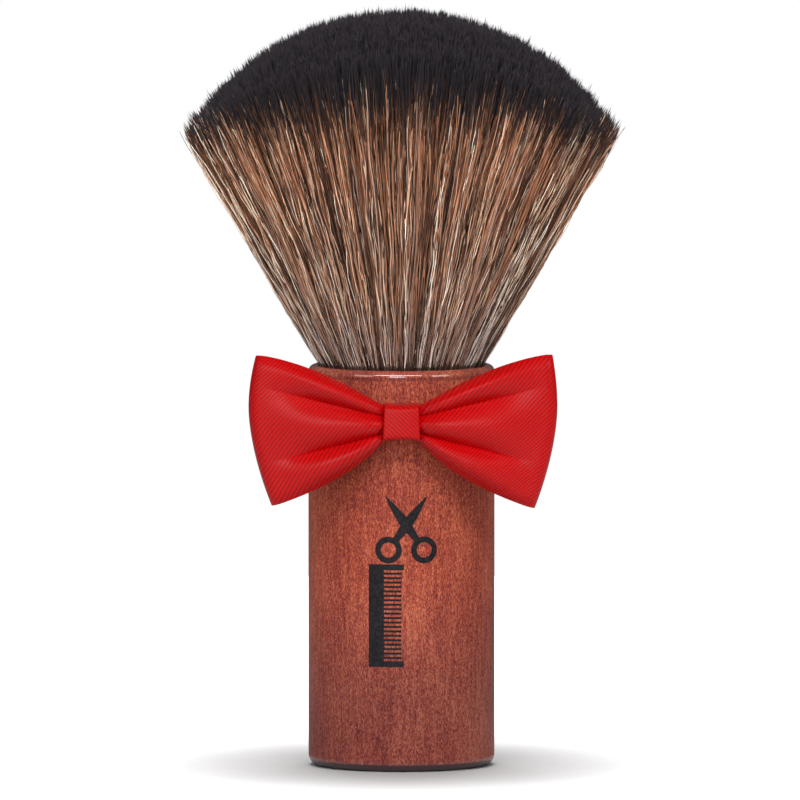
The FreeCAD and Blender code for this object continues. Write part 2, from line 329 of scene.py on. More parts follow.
@dataclass(frozen=True)
class StainedWood:
    """Red-brown stained hardwood under satin lacquer, with short upright flecks, painted shade on its rounded
    foot and over its lower part, and a thin dark line under the lip.
    """

    height_mm: float
    light: Colour = ink_to_light(216, 120, 88)
    body: Colour = ink_to_light(170, 76, 59)
    deep: Colour = ink_to_light(120, 49, 45)
    # Tint of the painted shade over the lower part of the handle.
    low_shade_tint: Colour = (0.62, 0.72, 0.88)
    pore: Colour = ink_to_light(62, 20, 26)
    # The dark purple-brown of the painted shade on the rounded foot, also used for the thin dark line under
    # the lip.
    foot: Colour = ink_to_light(52, 26, 36)
    foot_shade_edge: Pair = (1.95, 1.55)
    low_shade_band: Pair = (44.0, 12.0)

    def material(self) -> Material:
        """Builds the material.

        Returns:
            The material.
        """
        shader = Shader("stained_wood", Coat_IOR=2.0, Coat_Roughness=0.13, Specular_IOR_Level=0.08)
        _, _, up = shader.object_axes()
        fleck = shader.noise(shader.place((4300, 4300, 1500)), 3.0, 0.72)
        figure = shader.noise(shader.place((1500, 1500, 130)), 2.0)
        cloud = shader.noise(shader.place((85, 85, 48)), 2.0)
        pore = shader.noise(shader.place((5200, 5200, 800)), 1.0).step(0.6, 0.72)
        fine = shader.noise(shader.place((5200, 5200, 3000)), 1.0)
        tone = fleck * 1.15 + fine * 0.45 + figure * 0.34 + cloud * 0.36 - 0.645
        stops = ((0.32, self.deep), (0.5, self.body), (0.7, self.light))
        wood = shader.mix(pore * 0.5, shader.ramp(tone, *stops), self.pore)
        # Painted shade: the rounding at the foot, which faces the floor, turns dark purple-brown.
        foot_shade = (up + fleck * 0.5).step(*self.foot_shade_edge) * 0.92
        lip_line = up.step(self.height_mm - 2.3, self.height_mm - 1.8) * up.step(
            self.height_mm - 1.1, self.height_mm - 1.5
        )
        wood = shader.mix(foot_shade, wood, self.foot)
        # Painted shade: the wood darkens towards the bottom, where less light falls; it starts 44 mm up and
        # is full below 12 mm.
        low_shade = up.step(*self.low_shade_band)
        wood = shader.mix(low_shade, wood, shader.mix(1.0, wood, self.low_shade_tint, "MULTIPLY"))
        wood = shader.mix(lip_line * 0.4, wood, self.foot)
        lip_gloss = up.step(self.height_mm - 1.6, self.height_mm - 0.9) * 0.97
        shader.set("Coat Weight", lip_gloss + up.step(2.4, 1.6) * 0.5 + 0.03)
        return shader.finish(wood, fleck * 0.2 + 0.42, fleck * 0.7 + pore * -0.5, 0.05, 0.35)


class Weave(Enum):
    """Which way a twill's ribs lean, seen from the front."""

    RIGHT = -1
    LEFT = 1


@dataclass(frozen=True)
class SatinTwill:
    """Red satin ribbon with fine leaning ribs."""

    name: str
    weave: Weave
    red: Colour = ink_to_light(210, 3, 6)
    groove: Colour = ink_to_light(120, 3, 7)
    lean: float = math.radians(45)
    pitch_mm: float = 0.68

    def material(self) -> Material:
        """Builds the material.

        Returns:
            The material.
        """
        shader = Shader(
            self.name,
            Sheen_Weight=0.03,
            Sheen_Roughness=0.3,
            Sheen_Tint=ink_to_light(255, 120, 120),
            Specular_IOR_Level=0.3,
        )
        across, along = shader.cloth_axes()
        waver = shader.noise(shader.place((260, 260, 260)), 1.0)
        over = math.sin(self.lean) / self.pitch_mm
        up = self.weave.value * math.cos(self.lean) / self.pitch_mm
        rib = (across * over + along * up + waver * 0.5).wave()
        slub = shader.noise(shader.place((3800, 3800, 3800)), 2.0)
        cloud = shader.noise(shader.place((70, 70, 70)), 2.0)
        shade = rib.step(0.02, 0.5) * 0.6 + slub * 0.56 + cloud * 0.2 - 0.1
        colour = shader.mix(shade, self.groove, self.red)
        return shader.finish(colour, 0.36 - rib * 0.05 + cloud * 0.06, rib * 0.85 + slub * 0.15, 0.05, 0.45)


@dataclass(frozen=True)
class WovenElastic:
    """Red elastic with covered rubber strands running round it."""

    pitch_mm: float = 0.35
    strand_mm: float = 0.8
    radius_mm: float = 19.8
    thread: Colour = ink_to_light(176, 20, 22)
    gap: Colour = ink_to_light(96, 10, 14)

    def material(self) -> Material:
        """Builds the material.

        Returns:
            The material.
        """
        shader = Shader("red_elastic", Sheen_Weight=0.3, Sheen_Roughness=0.5, Specular_IOR_Level=0.3)
        x, y, up = shader.object_axes()
        round_mm = y.maths("ARCTAN2", x) * self.radius_mm
        strand = (up * (1 / self.strand_mm)).wave()
        weft = (round_mm * (1 / self.pitch_mm) + up * (0.5 / self.pitch_mm)).wave()
        fuzz = shader.noise(shader.place((1800, 1800, 1800)), 2.0)
        shade = strand * 0.4 + weft * 0.45 + fuzz * 0.25
        colour = shader.mix(shade, self.gap, self.thread)
        return shader.finish(colour, fuzz * 0.2 + 0.6, weft * 0.6 + strand * 0.4, 0.06, 0.6)


@dataclass(frozen=True)
class SpunThread:
    """Twisted thread or twine, with its ply as leaning bands."""

    name: str
    light: Colour
    dark: Colour
    ply_mm: float

    def material(self) -> Material:
        """Builds the material.

        Returns:
            The material.
        """
        shader = Shader(self.name, Sheen_Weight=0.25, Specular_IOR_Level=0.35)
        x, y, up = shader.object_axes()
        ply = ((x + y + up) * (1 / self.ply_mm)).wave()
        fuzz = shader.noise(shader.place((2600, 2600, 2600)), 2.0)
        colour = shader.mix(ply * 0.7 + fuzz * 0.3, self.dark, self.light)
        return shader.finish(colour, fuzz * 0.25 + 0.5, ply, 0.04, 0.6)


@dataclass(frozen=True)
class PrintedInk:
    """Black pad-printed ink that takes the grain under it and has rubbed thin in specks."""

    ink: Colour = ink_to_light(20, 21, 26)
    thin: Colour = ink_to_light(44, 38, 41)

    def material(self) -> Material:
        """Builds the material.

        Returns:
            The material.
        """
        shader = Shader("printed_ink", Specular_IOR_Level=0.2)
        speck = shader.noise(shader.place((3200, 3200, 1500)), 2.0, 0.6)
        worn = speck.step(0.44, 0.62)
        return shader.finish(shader.mix(worn, self.ink, self.thin), worn * 0.15 + 0.45, speck, 0.03, 0.4)


@dataclass(frozen=True)
class CastMatter:
    """Something poured and set, such as resin or glue, cloudy and slightly uneven."""

    name: str
    clear: Colour
    cloudy: Colour
    roughness: float

    def material(self) -> Material:
        """Builds the material.

        Returns:
            The material.
        """
        shader = Shader(self.name)
        cloud = shader.noise(shader.place((220, 220, 220)), 4.0)
        colour = shader.mix(cloud.step(0.35, 0.65), self.clear, self.cloudy)
        return shader.finish(colour, cloud * 0.15 + self.roughness, cloud, 0.1, 0.4)


@dataclass(frozen=True)
class DrawnAluminium:
    """Thin drawn aluminium with fine upright draw lines."""

    bright: Colour = ink_to_light(214, 216, 220)
    dull: Colour = ink_to_light(160, 162, 168)

    def material(self) -> Material:
        """Builds the material.

        Returns:
            The material.
        """
        shader = Shader("drawn_aluminium", Metallic=1.0)
        line = shader.noise(shader.place((2400, 2400, 60)), 2.0)
        return shader.finish(shader.mix(line, self.dull, self.bright), line * 0.2 + 0.28, line, 0.02, 0.4)


@dataclass(frozen=True)
class BoundHair:
    """Dark hair packed tight, in upright streaks."""

    dark: Colour = ink_to_light(30, 24, 24)
    light: Colour = ink_to_light(92, 70, 60)

    def material(self) -> Material:
        """Builds the material.

        Returns:
            The material.
        """
        shader = Shader("bound_hair", Specular_IOR_Level=0.3)
        streak = shader.noise(shader.place((1500, 1500, 40)), 2.0)
        colour = shader.mix(streak.step(0.35, 0.7), self.dark, self.light)
        return shader.finish(colour, streak * 0.2 + 0.5, streak, 0.15, 0.7)


@dataclass(frozen=True)
class HairColour:
    """The colours along one lot of hair: a strand is finer than any texture, so each stretch has its own."""

    name: str
    shaft: tuple[float, float, float]
    tip: tuple[float, float, float] = (54, 49, 54)

    def materials(self) -> list[Material]:
        """Builds the stretches' materials, from the root to the tip.

        Returns:
            The materials, in the order of Stretch.
        """
        grey = 0.3 * self.shaft[0] + 0.59 * self.shaft[1] + 0.11 * self.shaft[2]
        dust = (grey * 1.03, grey * 0.97, grey * 1.01)
        steps = [
            ("root", self._toward(self.shaft, dust, 0.42), 1.16),
            ("shaft", self._toward(self.shaft, dust, 0.17), 1.36),
            ("upper", self._toward(self.shaft, dust, 0.09), 1.86),
            # The dusk material also colours the painted shade at each strand's foot.
            ("dusk", self._toward(self.shaft, self.tip, 0.55), 0.85),
            ("tip", self.tip, 1.0),
        ]
        made = []
        for stretch, chart, level in steps:
            colour = tuple(level * channel for channel in ink_to_light(*chart))
            name = f"{self.name}_{stretch}"
            made.append(Shader(name, Base_Color=colour, Roughness=0.45, Specular_IOR_Level=0.22).material)
        return made

    @staticmethod
    def _toward(start: Sequence[float], end: Sequence[float], share: float) -> Colour:
        """A chart colour part of the way from start to end."""
        return tuple(a + (b - a) * share for a, b in zip(start, end))


# ---------------------------------------------------------------- meshes


def new_object(name: str, mesh: bpy.types.Mesh | bpy.types.Curve) -> Piece:
    """Puts mesh or curve data into the scene at the origin.

    Args:
        name: its name.
        mesh: its mesh or curve data.

    Returns:
        The object.
    """
    made = bpy.data.objects.new(name, mesh)
    bpy.context.scene.collection.objects.link(made)
    return made


def mesh_from(name: str, points: Array, faces: Iterable[Sequence[int]], smooth: bool = True) -> Piece:
    """A mesh object from points and faces.

    Args:
        name: the object's name.
        points: its vertices, in metres.
        faces: vertex numbers, anticlockwise from outside.
        smooth: whether its faces shade smoothly.

    Returns:
        The object.
    """
    mesh = bpy.data.meshes.new(name)
    mesh.from_pydata([tuple(point) for point in points], [], [tuple(face) for face in faces])
    mesh.polygons.foreach_set("use_smooth", [smooth] * len(mesh.polygons))
    mesh.update()
    return new_object(name, mesh)


def grid_faces(rows: int, columns: int, close_columns: bool = False, first: int = 0) -> list[tuple[int, ...]]:
    """The quads of a grid whose points run along its columns first.

    Args:
        rows: how many rows of points.
        columns: how many points in a row.
        close_columns: whether each row is a ring.
        first: the number of the first point.

    Returns:
        The quads.
    """
    faces = []
    for row in range(rows - 1):
        for column in range(columns if close_columns else columns - 1):
            after = (column + 1) % columns
            low, high = first + row * columns, first + (row + 1) * columns
            faces.append((low + column, low + after, high + after, high + column))
    return faces


def modify(piece: Piece, kind: str, **settings: Any) -> Piece:
    """Adds a modifier with its settings.

    Args:
        piece: the object.
        kind: the modifier's type.
        settings: its settings.

    Returns:
        The object.
    """
    modifier = piece.modifiers.new(kind.lower(), kind)
    for key, value in settings.items():
        setattr(modifier, key, value)
    return piece


def subdivide(piece: Piece, levels: int) -> Piece:
    """Adds a Subdivision Surface with the same level everywhere."""
    return modify(piece, "SUBSURF", levels=levels, render_levels=levels)


def turn_profile(name: str, profile: Sequence[Pair], steps: int, closed: bool = False) -> Piece:
    """A turned shape from a half section, by a Screw modifier.

    Args:
        name: the object's name.
        profile: (radius, height) in millimetres, from top to bottom on the outside.
        steps: how many steps round.
        closed: whether the profile is a ring of its own.

    Returns:
        The object, with its stack live.
    """
    points = [(radius * MM, 0.0, height * MM) for radius, height in profile]
    edges = [(i, i + 1) for i in range(len(points) - 1)]
    if closed:
        edges.append((len(points) - 1, 0))
    mesh = bpy.data.meshes.new(name)
    mesh.from_pydata(points, edges, [])
    mesh.update()
    piece = new_object(name, mesh)
    modify(piece, "SCREW", steps=steps, render_steps=steps, use_smooth_shade=True)
    return modify(piece, "WELD", merge_threshold=MERGE)


def set_cloth_uv(piece: Piece, across: Array, along: Array) -> None:
    """Gives a mesh its cloth coordinates, in metres, from one value of each per vertex.

    Args:
        piece: the object.
        across: how far along the ribbon each vertex is.
        along: how far over its width.
    """
    mesh = piece.data
    layer = mesh.uv_layers.new(name=CLOTH_UV)
    corners = np.zeros(len(mesh.loops), np.int32)
    mesh.loops.foreach_get("vertex_index", corners)
    layer.data.foreach_set("uv", np.stack([across[corners], along[corners]], 1).astype(np.float32).ravel())


def finish_piece(
    piece: Piece, body: str, slot: str, materials: Sequence[Material], *replaced: str
) -> Piece:
    """Dresses a piece and ties it to the frame.

    Args:
        piece: the object.
        body: the CAD body that it rides on.
        slot: a material slot's name; not used.
        materials: its materials, in slot order.
        replaced: the CAD nodes that it stands for.

    Returns:
        The piece.
    """
    for material in materials:
        piece.data.materials.append(material)
    if body:
        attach(piece, body)
    if replaced:
        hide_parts(*replaced)
    log.info("%s: %d points", piece.name, len(getattr(piece.data, "vertices", ())))
    return piece


# ---------------------------------------------------------------- bristles


class Stretch(Enum):
    """The stretches of a strand, in the order of its lot's materials."""

    ROOT = 0
    SHAFT = 1
    UPPER = 2
    DUSK_AND_FOOT_SHADE = 3
    TIP = 4


@dataclass(frozen=True)
class HairLot:
    """One lot of hair in the blend: its colour and its share of the strands, from darkest to palest."""

    colour: HairColour
    share: float


@dataclass(frozen=True)
class Growth:
    """How a kind of hair grows, in millimetres; a pair is a least value and how much more chance adds.

    Outward moves its place in the mouth, and droop is how far chance may lean its tip.
    """

    thickness: float
    outward: float
    wave_length: Pair
    wave_size: Pair
    droop: float
    # How far up the painted shade at a strand's foot may reach, past half a millimetre.
    painted_foot_shade: float


class HairKind(Enum):
    """The two kinds of hair in the tuft."""

    SOFT = Growth(0.088, 1.0, (12, 14), (0.08, 0.16), 0.8, 3.3)
    GUARD = Growth(0.08, 1.015, (10, 7), (0.16, 0.2), 2.2, 0.8)


@dataclass(frozen=True)
class Strands:
    """Strands as arrays, one row each: place in the mouth, reach above it, clump and chance numbers."""

    unit: Array
    reach: Array
    clump_unit: Array
    clump_phase: Array
    chance: Array

    def pick(self, chosen: Array) -> "Strands":
        """Some of the strands."""
        return Strands(*(getattr(self, column.name)[chosen] for column in fields(self)))


@dataclass(frozen=True)
class StrandClass:
    """How finely a layer of the tuft is drawn: its place in the mouth, and the points along each strand."""

    inner: float
    outer: float
    rings: int
    guard_rings: int


@dataclass
class BristleTuft:
    """The tuft of hair: an oval fan whose tips are trimmed to a ball. Sizes in millimetres.

    A pair is a least value and how much more chance or place adds. Black is the tips' length on the fan's
    skin and deep_black inside it; dusk is the change below them.
    """

    mouth_height: float
    mouth_radius: float
    top: float
    slope_across: float = 0.585
    slope_deep: float = 0.19
    dome_radius: float = 51.0
    sunk: float = 2.0
    count: int = 36000
    clumps: int = 1300
    guard_lots: int = 2
    seed: int = 20
    place_jitter: float = 1.1
    clump_jitter: float = 0.3
    rim_from: float = 0.86
    trim: Pair = (1.0, 2.0)
    clump_trim: Pair = (0.9, 1.1)
    stray_from: float = 0.98
    stray_length: float = 1.3
    clump_tone: float = 0.16
    clump_pull: Pair = (0.22, 0.16)
    clump_swing: float = 0.22
    clump_wave: Pair = (22, 16)
    straight_foot: float = 5.0
    root_thickness: Pair = (0.68, 0.32)
    thick_from: float = 26.0
    tip_thinning: float = 0.25
    tip_length: float = 1.0
    least_black: float = 0.6
    least_dusk: float = 0.8
    black: float = 7.0
    black_uneven: Pair = (8, -4)
    deep_black: float = 9.5
    deep_uneven: Pair = (3.5, 4)
    side_loss: float = 0.6
    dusk: Pair = (1.2, 9.0)
    bright_below_dusk: Pair = (10, 14)
    root: Pair = (3, 14)
    bend: Pair = (1, 25)
    layers: tuple[StrandClass, ...] = (
        StrandClass(0.91, 2.0, 16, 20),
        StrandClass(0.74, 0.91, 8, 10),
        StrandClass(0.0, 0.74, 5, 5),
    )
    lots: tuple[HairLot, ...] = (
        HairLot(HairColour("hair_soot", (38, 26, 23)), 0.1),
        HairLot(HairColour("hair_umber", (60, 38, 29)), 0.11),
        HairLot(HairColour("hair_walnut", (88, 55, 40)), 0.12),
        HairLot(HairColour("hair_cocoa", (116, 74, 52)), 0.12),
        HairLot(HairColour("hair_chestnut", (142, 93, 66)), 0.12),
        HairLot(HairColour("hair_russet", (172, 110, 75)), 0.11),
        HairLot(HairColour("hair_hazel", (196, 138, 102)), 0.1),
        HairLot(HairColour("hair_ash", (184, 152, 132)), 0.07),
        HairLot(HairColour("hair_tan", (228, 184, 148)), 0.08),
        HairLot(HairColour("hair_cream", (253, 238, 216)), 0.07),
    )

    def build(self) -> None:
        """Builds each lot as a piece, and the bound roots below them."""
        first_guard = len(self.lots) - self.guard_lots
        for number, (lot, members) in enumerate(zip(self.lots, self._sort_into_lots(self._scatter()))):
            piece = self._lot_mesh(lot, members, HairKind.GUARD if number >= first_guard else HairKind.SOFT)
            finish_piece(piece, "", "bristle_hair", lot.colour.materials(), "bristle_fan")
            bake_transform(piece)
        self._build_roots()

    def _scatter(self) -> Strands:
        """Places the strands in the mouth, each with its clump, and trims their tips to the ball.

        Returns:
            The strands.
        """
        chance = np.random.default_rng(self.seed).random((self.count, 12))
        unit = self._sunflower(self.count, 0.0)
        unit += (chance[:, :2] - 0.5) * self.place_jitter / math.sqrt(self.count)
        centres = self._sunflower(self.clumps, 1.0)
        wander = np.random.default_rng(self.seed + 1)
        centres += wander.normal(0, self.clump_jitter / math.sqrt(self.clumps), centres.shape)
        tree = KDTree(self.clumps)
        for i, (x, y) in enumerate(centres):
            tree.insert((x, y, 0.0), i)
        tree.balance()
        nearest = np.array([tree.find((x, y, 0.0))[1] for x, y in unit])
        phases = np.random.default_rng(self.seed + 2).random((self.clumps, 6))
        reach = self._reach(unit, chance, phases[nearest])
        return Strands(unit, reach, centres[nearest], phases[nearest], chance)

    @staticmethod
    def _sunflower(count: int, turn: float) -> Array:
        """Evenly spread points in the unit disc.

        Args:
            count: how many.
            turn: radians that they are turned by.

        Returns:
            Their x and y.
        """
        number = np.arange(count)
        radius, angle = np.sqrt((number + 0.5) / count), number * GOLDEN_ANGLE + turn
        return np.stack([radius * np.cos(angle), radius * np.sin(angle)], 1)

    def _reach(self, unit: Array, chance: Array, phases: Array) -> Array:
        """How high above the mouth each strand's tip stands: on the ball, give or take the trimming.

        Args:
            unit: the strands' places in the mouth.
            chance: their chance numbers.
            phases: their clumps' numbers.

        Returns:
            The heights.
        """
        x2, y2 = unit[:, 0] ** 2, unit[:, 1] ** 2
        centre = self.top - self.dome_radius - self.mouth_height
        a = x2 * self.slope_across**2 + y2 * self.slope_deep**2 + 1
        b = 2 * (self.mouth_radius * (x2 * self.slope_across + y2 * self.slope_deep) - centre)
        c = self.mouth_radius**2 * (x2 + y2) + centre**2 - self.dome_radius**2
        reach = (-b + np.sqrt(b * b - 4 * a * c)) / (2 * a)
        rim = ease(self.rim_from, 1.0, np.sqrt(x2 + y2))
        uneven = (chance[:, 2] + chance[:, 3] - 1) * spread(self.trim, rim)
        tufted = (phases[:, 4] - 0.5) * spread(self.clump_trim, rim)
        stray = np.where(chance[:, 4] > self.stray_from, self.stray_length * chance[:, 5], 0.0)
        return reach + uneven + tufted + stray - 0.2 - 0.7 * rim

    def _sort_into_lots(self, strands: Strands) -> list[Strands]:
        """Shares the strands among the lots by tone, a little alike within a clump.

        Args:
            strands: the strands.

        Returns:
            Each lot's strands.
        """
        tone = self.clump_tone * strands.clump_phase[:, 5] + (1 - self.clump_tone) * strands.chance[:, 6]
        order = np.argsort(tone)
        ends = np.cumsum([lot.share for lot in self.lots])
        cuts = (ends[:-1] / ends[-1] * self.count).astype(int)
        return [strands.pick(np.sort(part)) for part in np.split(order, cuts)]

    def _lot_mesh(self, lot: HairLot, strands: Strands, kind: HairKind) -> Piece:
        """One lot's mesh, its strands drawn finely on the skin and coarsely inside.

        Args:
            lot: the lot.
            strands: its strands.
            kind: which kind of hair they are.

        Returns:
            The object.
        """
        place = np.hypot(strands.unit[:, 0], strands.unit[:, 1])
        points, faces, stretches, base = [], [], [], 0
        for layer in self.layers:
            inside = strands.pick((place > layer.inner) & (place <= layer.outer))
            rings = layer.guard_rings if kind is HairKind.GUARD else layer.rings
            layer_points, layer_faces, layer_stretches = self._strand_arrays(inside, rings, kind)
            points.append(layer_points)
            faces.append(np.where(layer_faces < 0, -1, layer_faces + base))
            stretches.append(layer_stretches)
            base += len(layer_points)
        name = lot.colour.name.replace("hair_", "bristles_")
        return self._fill_mesh(name, np.concatenate(points), np.concatenate(faces), np.concatenate(stretches))

    def _centrelines(self, strands: Strands, rings: int, kind: HairKind) -> tuple[Array, Array]:
        """The strands' centrelines.

        Args:
            strands: the strands.
            rings: how many points along each, the tip included.
            kind: which kind of hair they are.

        Returns:
            The points, by strand and ring, and their heights above the mouth.
        """
        height = self._ring_heights(strands, rings, kind)
        growth, chance = kind.value, strands.chance
        share = height / strands.reach[:, None]
        pull = self.clump_pull[0] * ease(0.1, 0.5, share) + self.clump_pull[1] * ease(0.9, 1.0, share)
        own_unit = strands.unit * growth.outward
        own_unit /= np.maximum(1.0, np.hypot(own_unit[:, 0], own_unit[:, 1]))[:, None]
        unit = own_unit[:, None, :] + (strands.clump_unit - own_unit)[:, None, :] * pull[:, :, None]
        slopes = self.slope_across, self.slope_deep
        line = unit * np.stack([self.mouth_radius + slope * height for slope in slopes], 2)
        own_length = spread(growth.wave_length, chance[:, 10])
        own_size = spread(growth.wave_size, chance[:, 11])
        shared_length = spread(self.clump_wave, strands.clump_phase[:, 3])
        for axis in (0, 1):
            own, shared = chance[:, axis + 8], strands.clump_phase[:, axis]
            swing = own_size[:, None] * np.sin(TURN * (height / own_length[:, None] + own[:, None]))
            swing += self.clump_swing * np.sin(TURN * (height / shared_length[:, None] + shared[:, None]))
            swing += (chance[:, 5 + axis, None] - 0.5) * growth.droop * share**2
            line[:, :, axis] += swing * ease(0.0, self.straight_foot, height)
        return np.concatenate([line, height[:, :, None]], 2), height

    def _ring_heights(self, strands: Strands, rings: int, kind: HairKind) -> Array:
        """The heights of each strand's points, some of them at its own changes of colour.

        Args:
            strands: the strands.
            rings: how many points along each, the tip included.
            kind: which kind of hair they are.

        Returns:
            The heights, by strand and ring.
        """
        black, dusk, shadow = self._colour_changes(strands, kind)
        black = np.maximum(black, self.tip_length + self.least_black)
        tip = np.full(len(black), self.tip_length)
        top = strands.reach[:, None] - np.stack([black + np.maximum(dusk, self.least_dusk), black, tip], 1)
        foot = np.full((len(black), 1), -self.sunk)
        if rings > 5:
            along = np.linspace(0, 1, rings - 4)[None, :-1]
            foot = np.concatenate([foot, shadow[:, None] + along * (top[:, :1] - shadow[:, None])], 1)
        return np.concatenate([foot, top, strands.reach[:, None]], 1)

    def _strand_arrays(self, strands: Strands, rings: int, kind: HairKind) -> tuple[Array, Array, Array]:
        """Three-sided tapering tubes round the strands' centrelines.

        Args:
            strands: the strands.
            rings: how many points along each, the tip included.
            kind: which kind of hair they are.

        Returns:
            Points in metres, faces as rows of four with -1 where a face is a triangle, and each face's
            stretch.
        """
        count = len(strands.reach)
        line, height = self._centrelines(strands, rings, kind)
        axis = line[:, -1] - line[:, 0]
        axis /= np.linalg.norm(axis, axis=1, keepdims=True)
        turn = TURN * strands.chance[:, 7]
        side = np.stack([np.cos(turn), np.sin(turn), np.zeros(count)], 1)
        side -= axis * np.sum(side * axis, 1, keepdims=True)
        side /= np.linalg.norm(side, axis=1, keepdims=True)
        other = np.cross(axis, side)
        share = np.clip(height / strands.reach[:, None], 0, 1)
        thick = kind.value.thickness * (0.8 + 0.5 * strands.chance[:, 7])
        radius = thick[:, None] * spread(self.root_thickness, ease(0.0, self.thick_from, height))
        radius = radius * (1 - self.tip_thinning * ease(0.5, 1.0, share))
        sides = []
        for corner in range(3):
            out = math.cos(TURN * corner / 3) * side + math.sin(TURN * corner / 3) * other
            sides.append(line[:, :-1] + radius[:, :-1, None] * out[:, None, :])
        tubes = np.stack(sides, 2).reshape(count, -1, 3)
        points = np.concatenate([tubes, line[:, -1:]], 1)
        points[:, :, 2] += self.mouth_height
        faces, level = self._tube_faces(rings)
        per_strand = 3 * (rings - 1) + 1
        offsets = (np.arange(count) * per_strand)[:, None, None]
        every_face = np.where(faces[None] < 0, -1, faces[None] + offsets).reshape(-1, 4)
        return points.reshape(-1, 3) * MM, every_face, self._stretches(strands, height, level, kind)

    @staticmethod
    def _tube_faces(rings: int) -> tuple[Array, Array]:
        """The faces of one tube with its tip, and the lower ring of each.

        Args:
            rings: how many points along it, the tip included.

        Returns:
            The faces, with -1 where one is a triangle, and the ring below each.
        """
        faces, level = [(2, 1, 0, -1)], [0]
        for ring in range(rings - 2):
            for corner in range(3):
                after = (corner + 1) % 3
                low, high = 3 * ring, 3 * (ring + 1)
                faces.append((low + corner, low + after, high + after, high + corner))
                level.append(ring)
        last, tip = 3 * (rings - 2), 3 * (rings - 1)
        for corner in range(3):
            faces.append((last + corner, last + (corner + 1) % 3, tip, -1))
            level.append(rings - 2)
        return np.array(faces), np.array(level)

    def _colour_changes(self, strands: Strands, kind: HairKind) -> tuple[Array, Array, Array]:
        """How long each strand's black tip, the dusk below it and the painted shade at its foot are.

        Args:
            strands: the strands.
            kind: which kind of hair they are.

        Returns:
            The three lengths. The black tips are longest in the middle and gone at the fan's edges.
        """
        from_side = np.minimum(np.abs(strands.unit[:, 0]), 1.0)
        inside = 1 - ease(0.72, 0.94, np.hypot(strands.unit[:, 0], strands.unit[:, 1]))
        uneven = strands.chance[:, 3] + strands.chance[:, 9] - 1
        black = self.black * (1 - from_side**1.2) + uneven * spread(self.black_uneven, from_side)
        deep = self.deep_black + spread(self.deep_uneven, from_side) * uneven
        deep = deep * (1 - self.side_loss * ease(0.4, 1.0, from_side))
        black = black * (1 - inside) + deep * inside
        dusk = spread(self.dusk, strands.chance[:, 4] ** 1.3)
        dusk = dusk * (1 - self.side_loss * from_side * (1 - inside))
        return black, dusk, 0.5 + kind.value.painted_foot_shade * strands.chance[:, 5] ** 1.5

    def _stretches(self, strands: Strands, height: Array, level: Array, kind: HairKind) -> Array:
        """Which stretch each face is in.

        Args:
            strands: the strands.
            height: the heights, by strand and ring.
            level: the ring below each face of a strand.
            kind: which kind of hair they are.

        Returns:
            The stretches' numbers, a face at a time.
        """
        black, dusk, shadow = self._colour_changes(strands, kind)
        middle = 0.5 * (height[:, :-1] + height[:, 1:])[:, level]
        left = strands.reach[:, None] - middle
        bright = black + dusk + self.bright_below_dusk[0] + self.bright_below_dusk[1] * strands.chance[:, 8]
        found = np.full(middle.shape, Stretch.SHAFT.value)
        found[left < bright[:, None]] = Stretch.UPPER.value
        found[middle < spread(self.root, strands.chance[:, 10])[:, None]] = Stretch.ROOT.value
        found[left < (black + dusk)[:, None]] = Stretch.DUSK_AND_FOOT_SHADE.value
        # Painted shade: the foot of each strand takes the dusk colour, for the shadow deep in the mouth and
        # for roots darkened by glue there.
        found[middle < shadow[:, None]] = Stretch.DUSK_AND_FOOT_SHADE.value
        found[left < black[:, None]] = Stretch.TIP.value
        return found.ravel()

    @staticmethod
    def _fill_mesh(name: str, points: Array, faces: Array, stretches: Array) -> Piece:
        """A mesh object from arrays, which is much quicker than from lists.

        Args:
            name: the object's name.
            points: its vertices, in metres.
            faces: rows of four vertex numbers, with -1 where a face is a triangle.
            stretches: each face's material slot.

        Returns:
            The object.
        """
        corners = (faces >= 0).sum(1)
        starts = np.concatenate([[0], np.cumsum(corners)[:-1]])
        mesh = bpy.data.meshes.new(name)
        mesh.vertices.add(len(points))
        mesh.vertices.foreach_set("co", points.astype(np.float32).ravel())
        mesh.loops.add(int(corners.sum()))
        mesh.loops.foreach_set("vertex_index", faces[faces >= 0].astype(np.int32))
        mesh.polygons.add(len(faces))
        mesh.polygons.foreach_set("loop_start", starts.astype(np.int32))
        mesh.polygons.foreach_set("material_index", stretches.astype(np.int32))
        mesh.polygons.foreach_set("use_smooth", np.ones(len(faces), bool))
        mesh.update(calc_edges=True)
        mesh.validate()
        return new_object(name, mesh)

    def _build_roots(self) -> None:
        """The bound bundle in the socket, which closes the mouth behind the strands."""
        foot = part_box("bristle_roots")[0].z / MM + 0.1
        cup_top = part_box("knot_cup")[1].z / MM
        bound = -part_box("binding_cord")[0].x / MM - 1.05
        free = self.mouth_radius - 0.3
        domed = [(0, 3.2), (free * 0.55, 2.6), (free * 0.9, 0.6), (free, -1.6)]
        profile = [(radius, self.mouth_height + above) for radius, above in domed]
        profile += [(free, cup_top + 1.8), (bound, cup_top + 0.1), (bound, foot), (0, foot)]
        piece = turn_profile("bristle_roots_bundle", profile, 96)
        subdivide(piece, 1)
        finish_piece(piece, "handle", "bristle_hair", [BoundHair().material()], "bristle_roots")


# ---------------------------------------------------------------- bow


@dataclass(frozen=True)
class Wing:
    """One wing of the bow, in millimetres from the middle of its knot; side is 1 for +X.

    A crease starts at its height by the knot and rises or falls by its slope.
    """

    side: int
    tip_top: Pair
    tip_low: Pair
    reach: float
    crease_top: Pair = (1.3, 0.235)
    crease_low: Pair = (-2.4, -0.228)


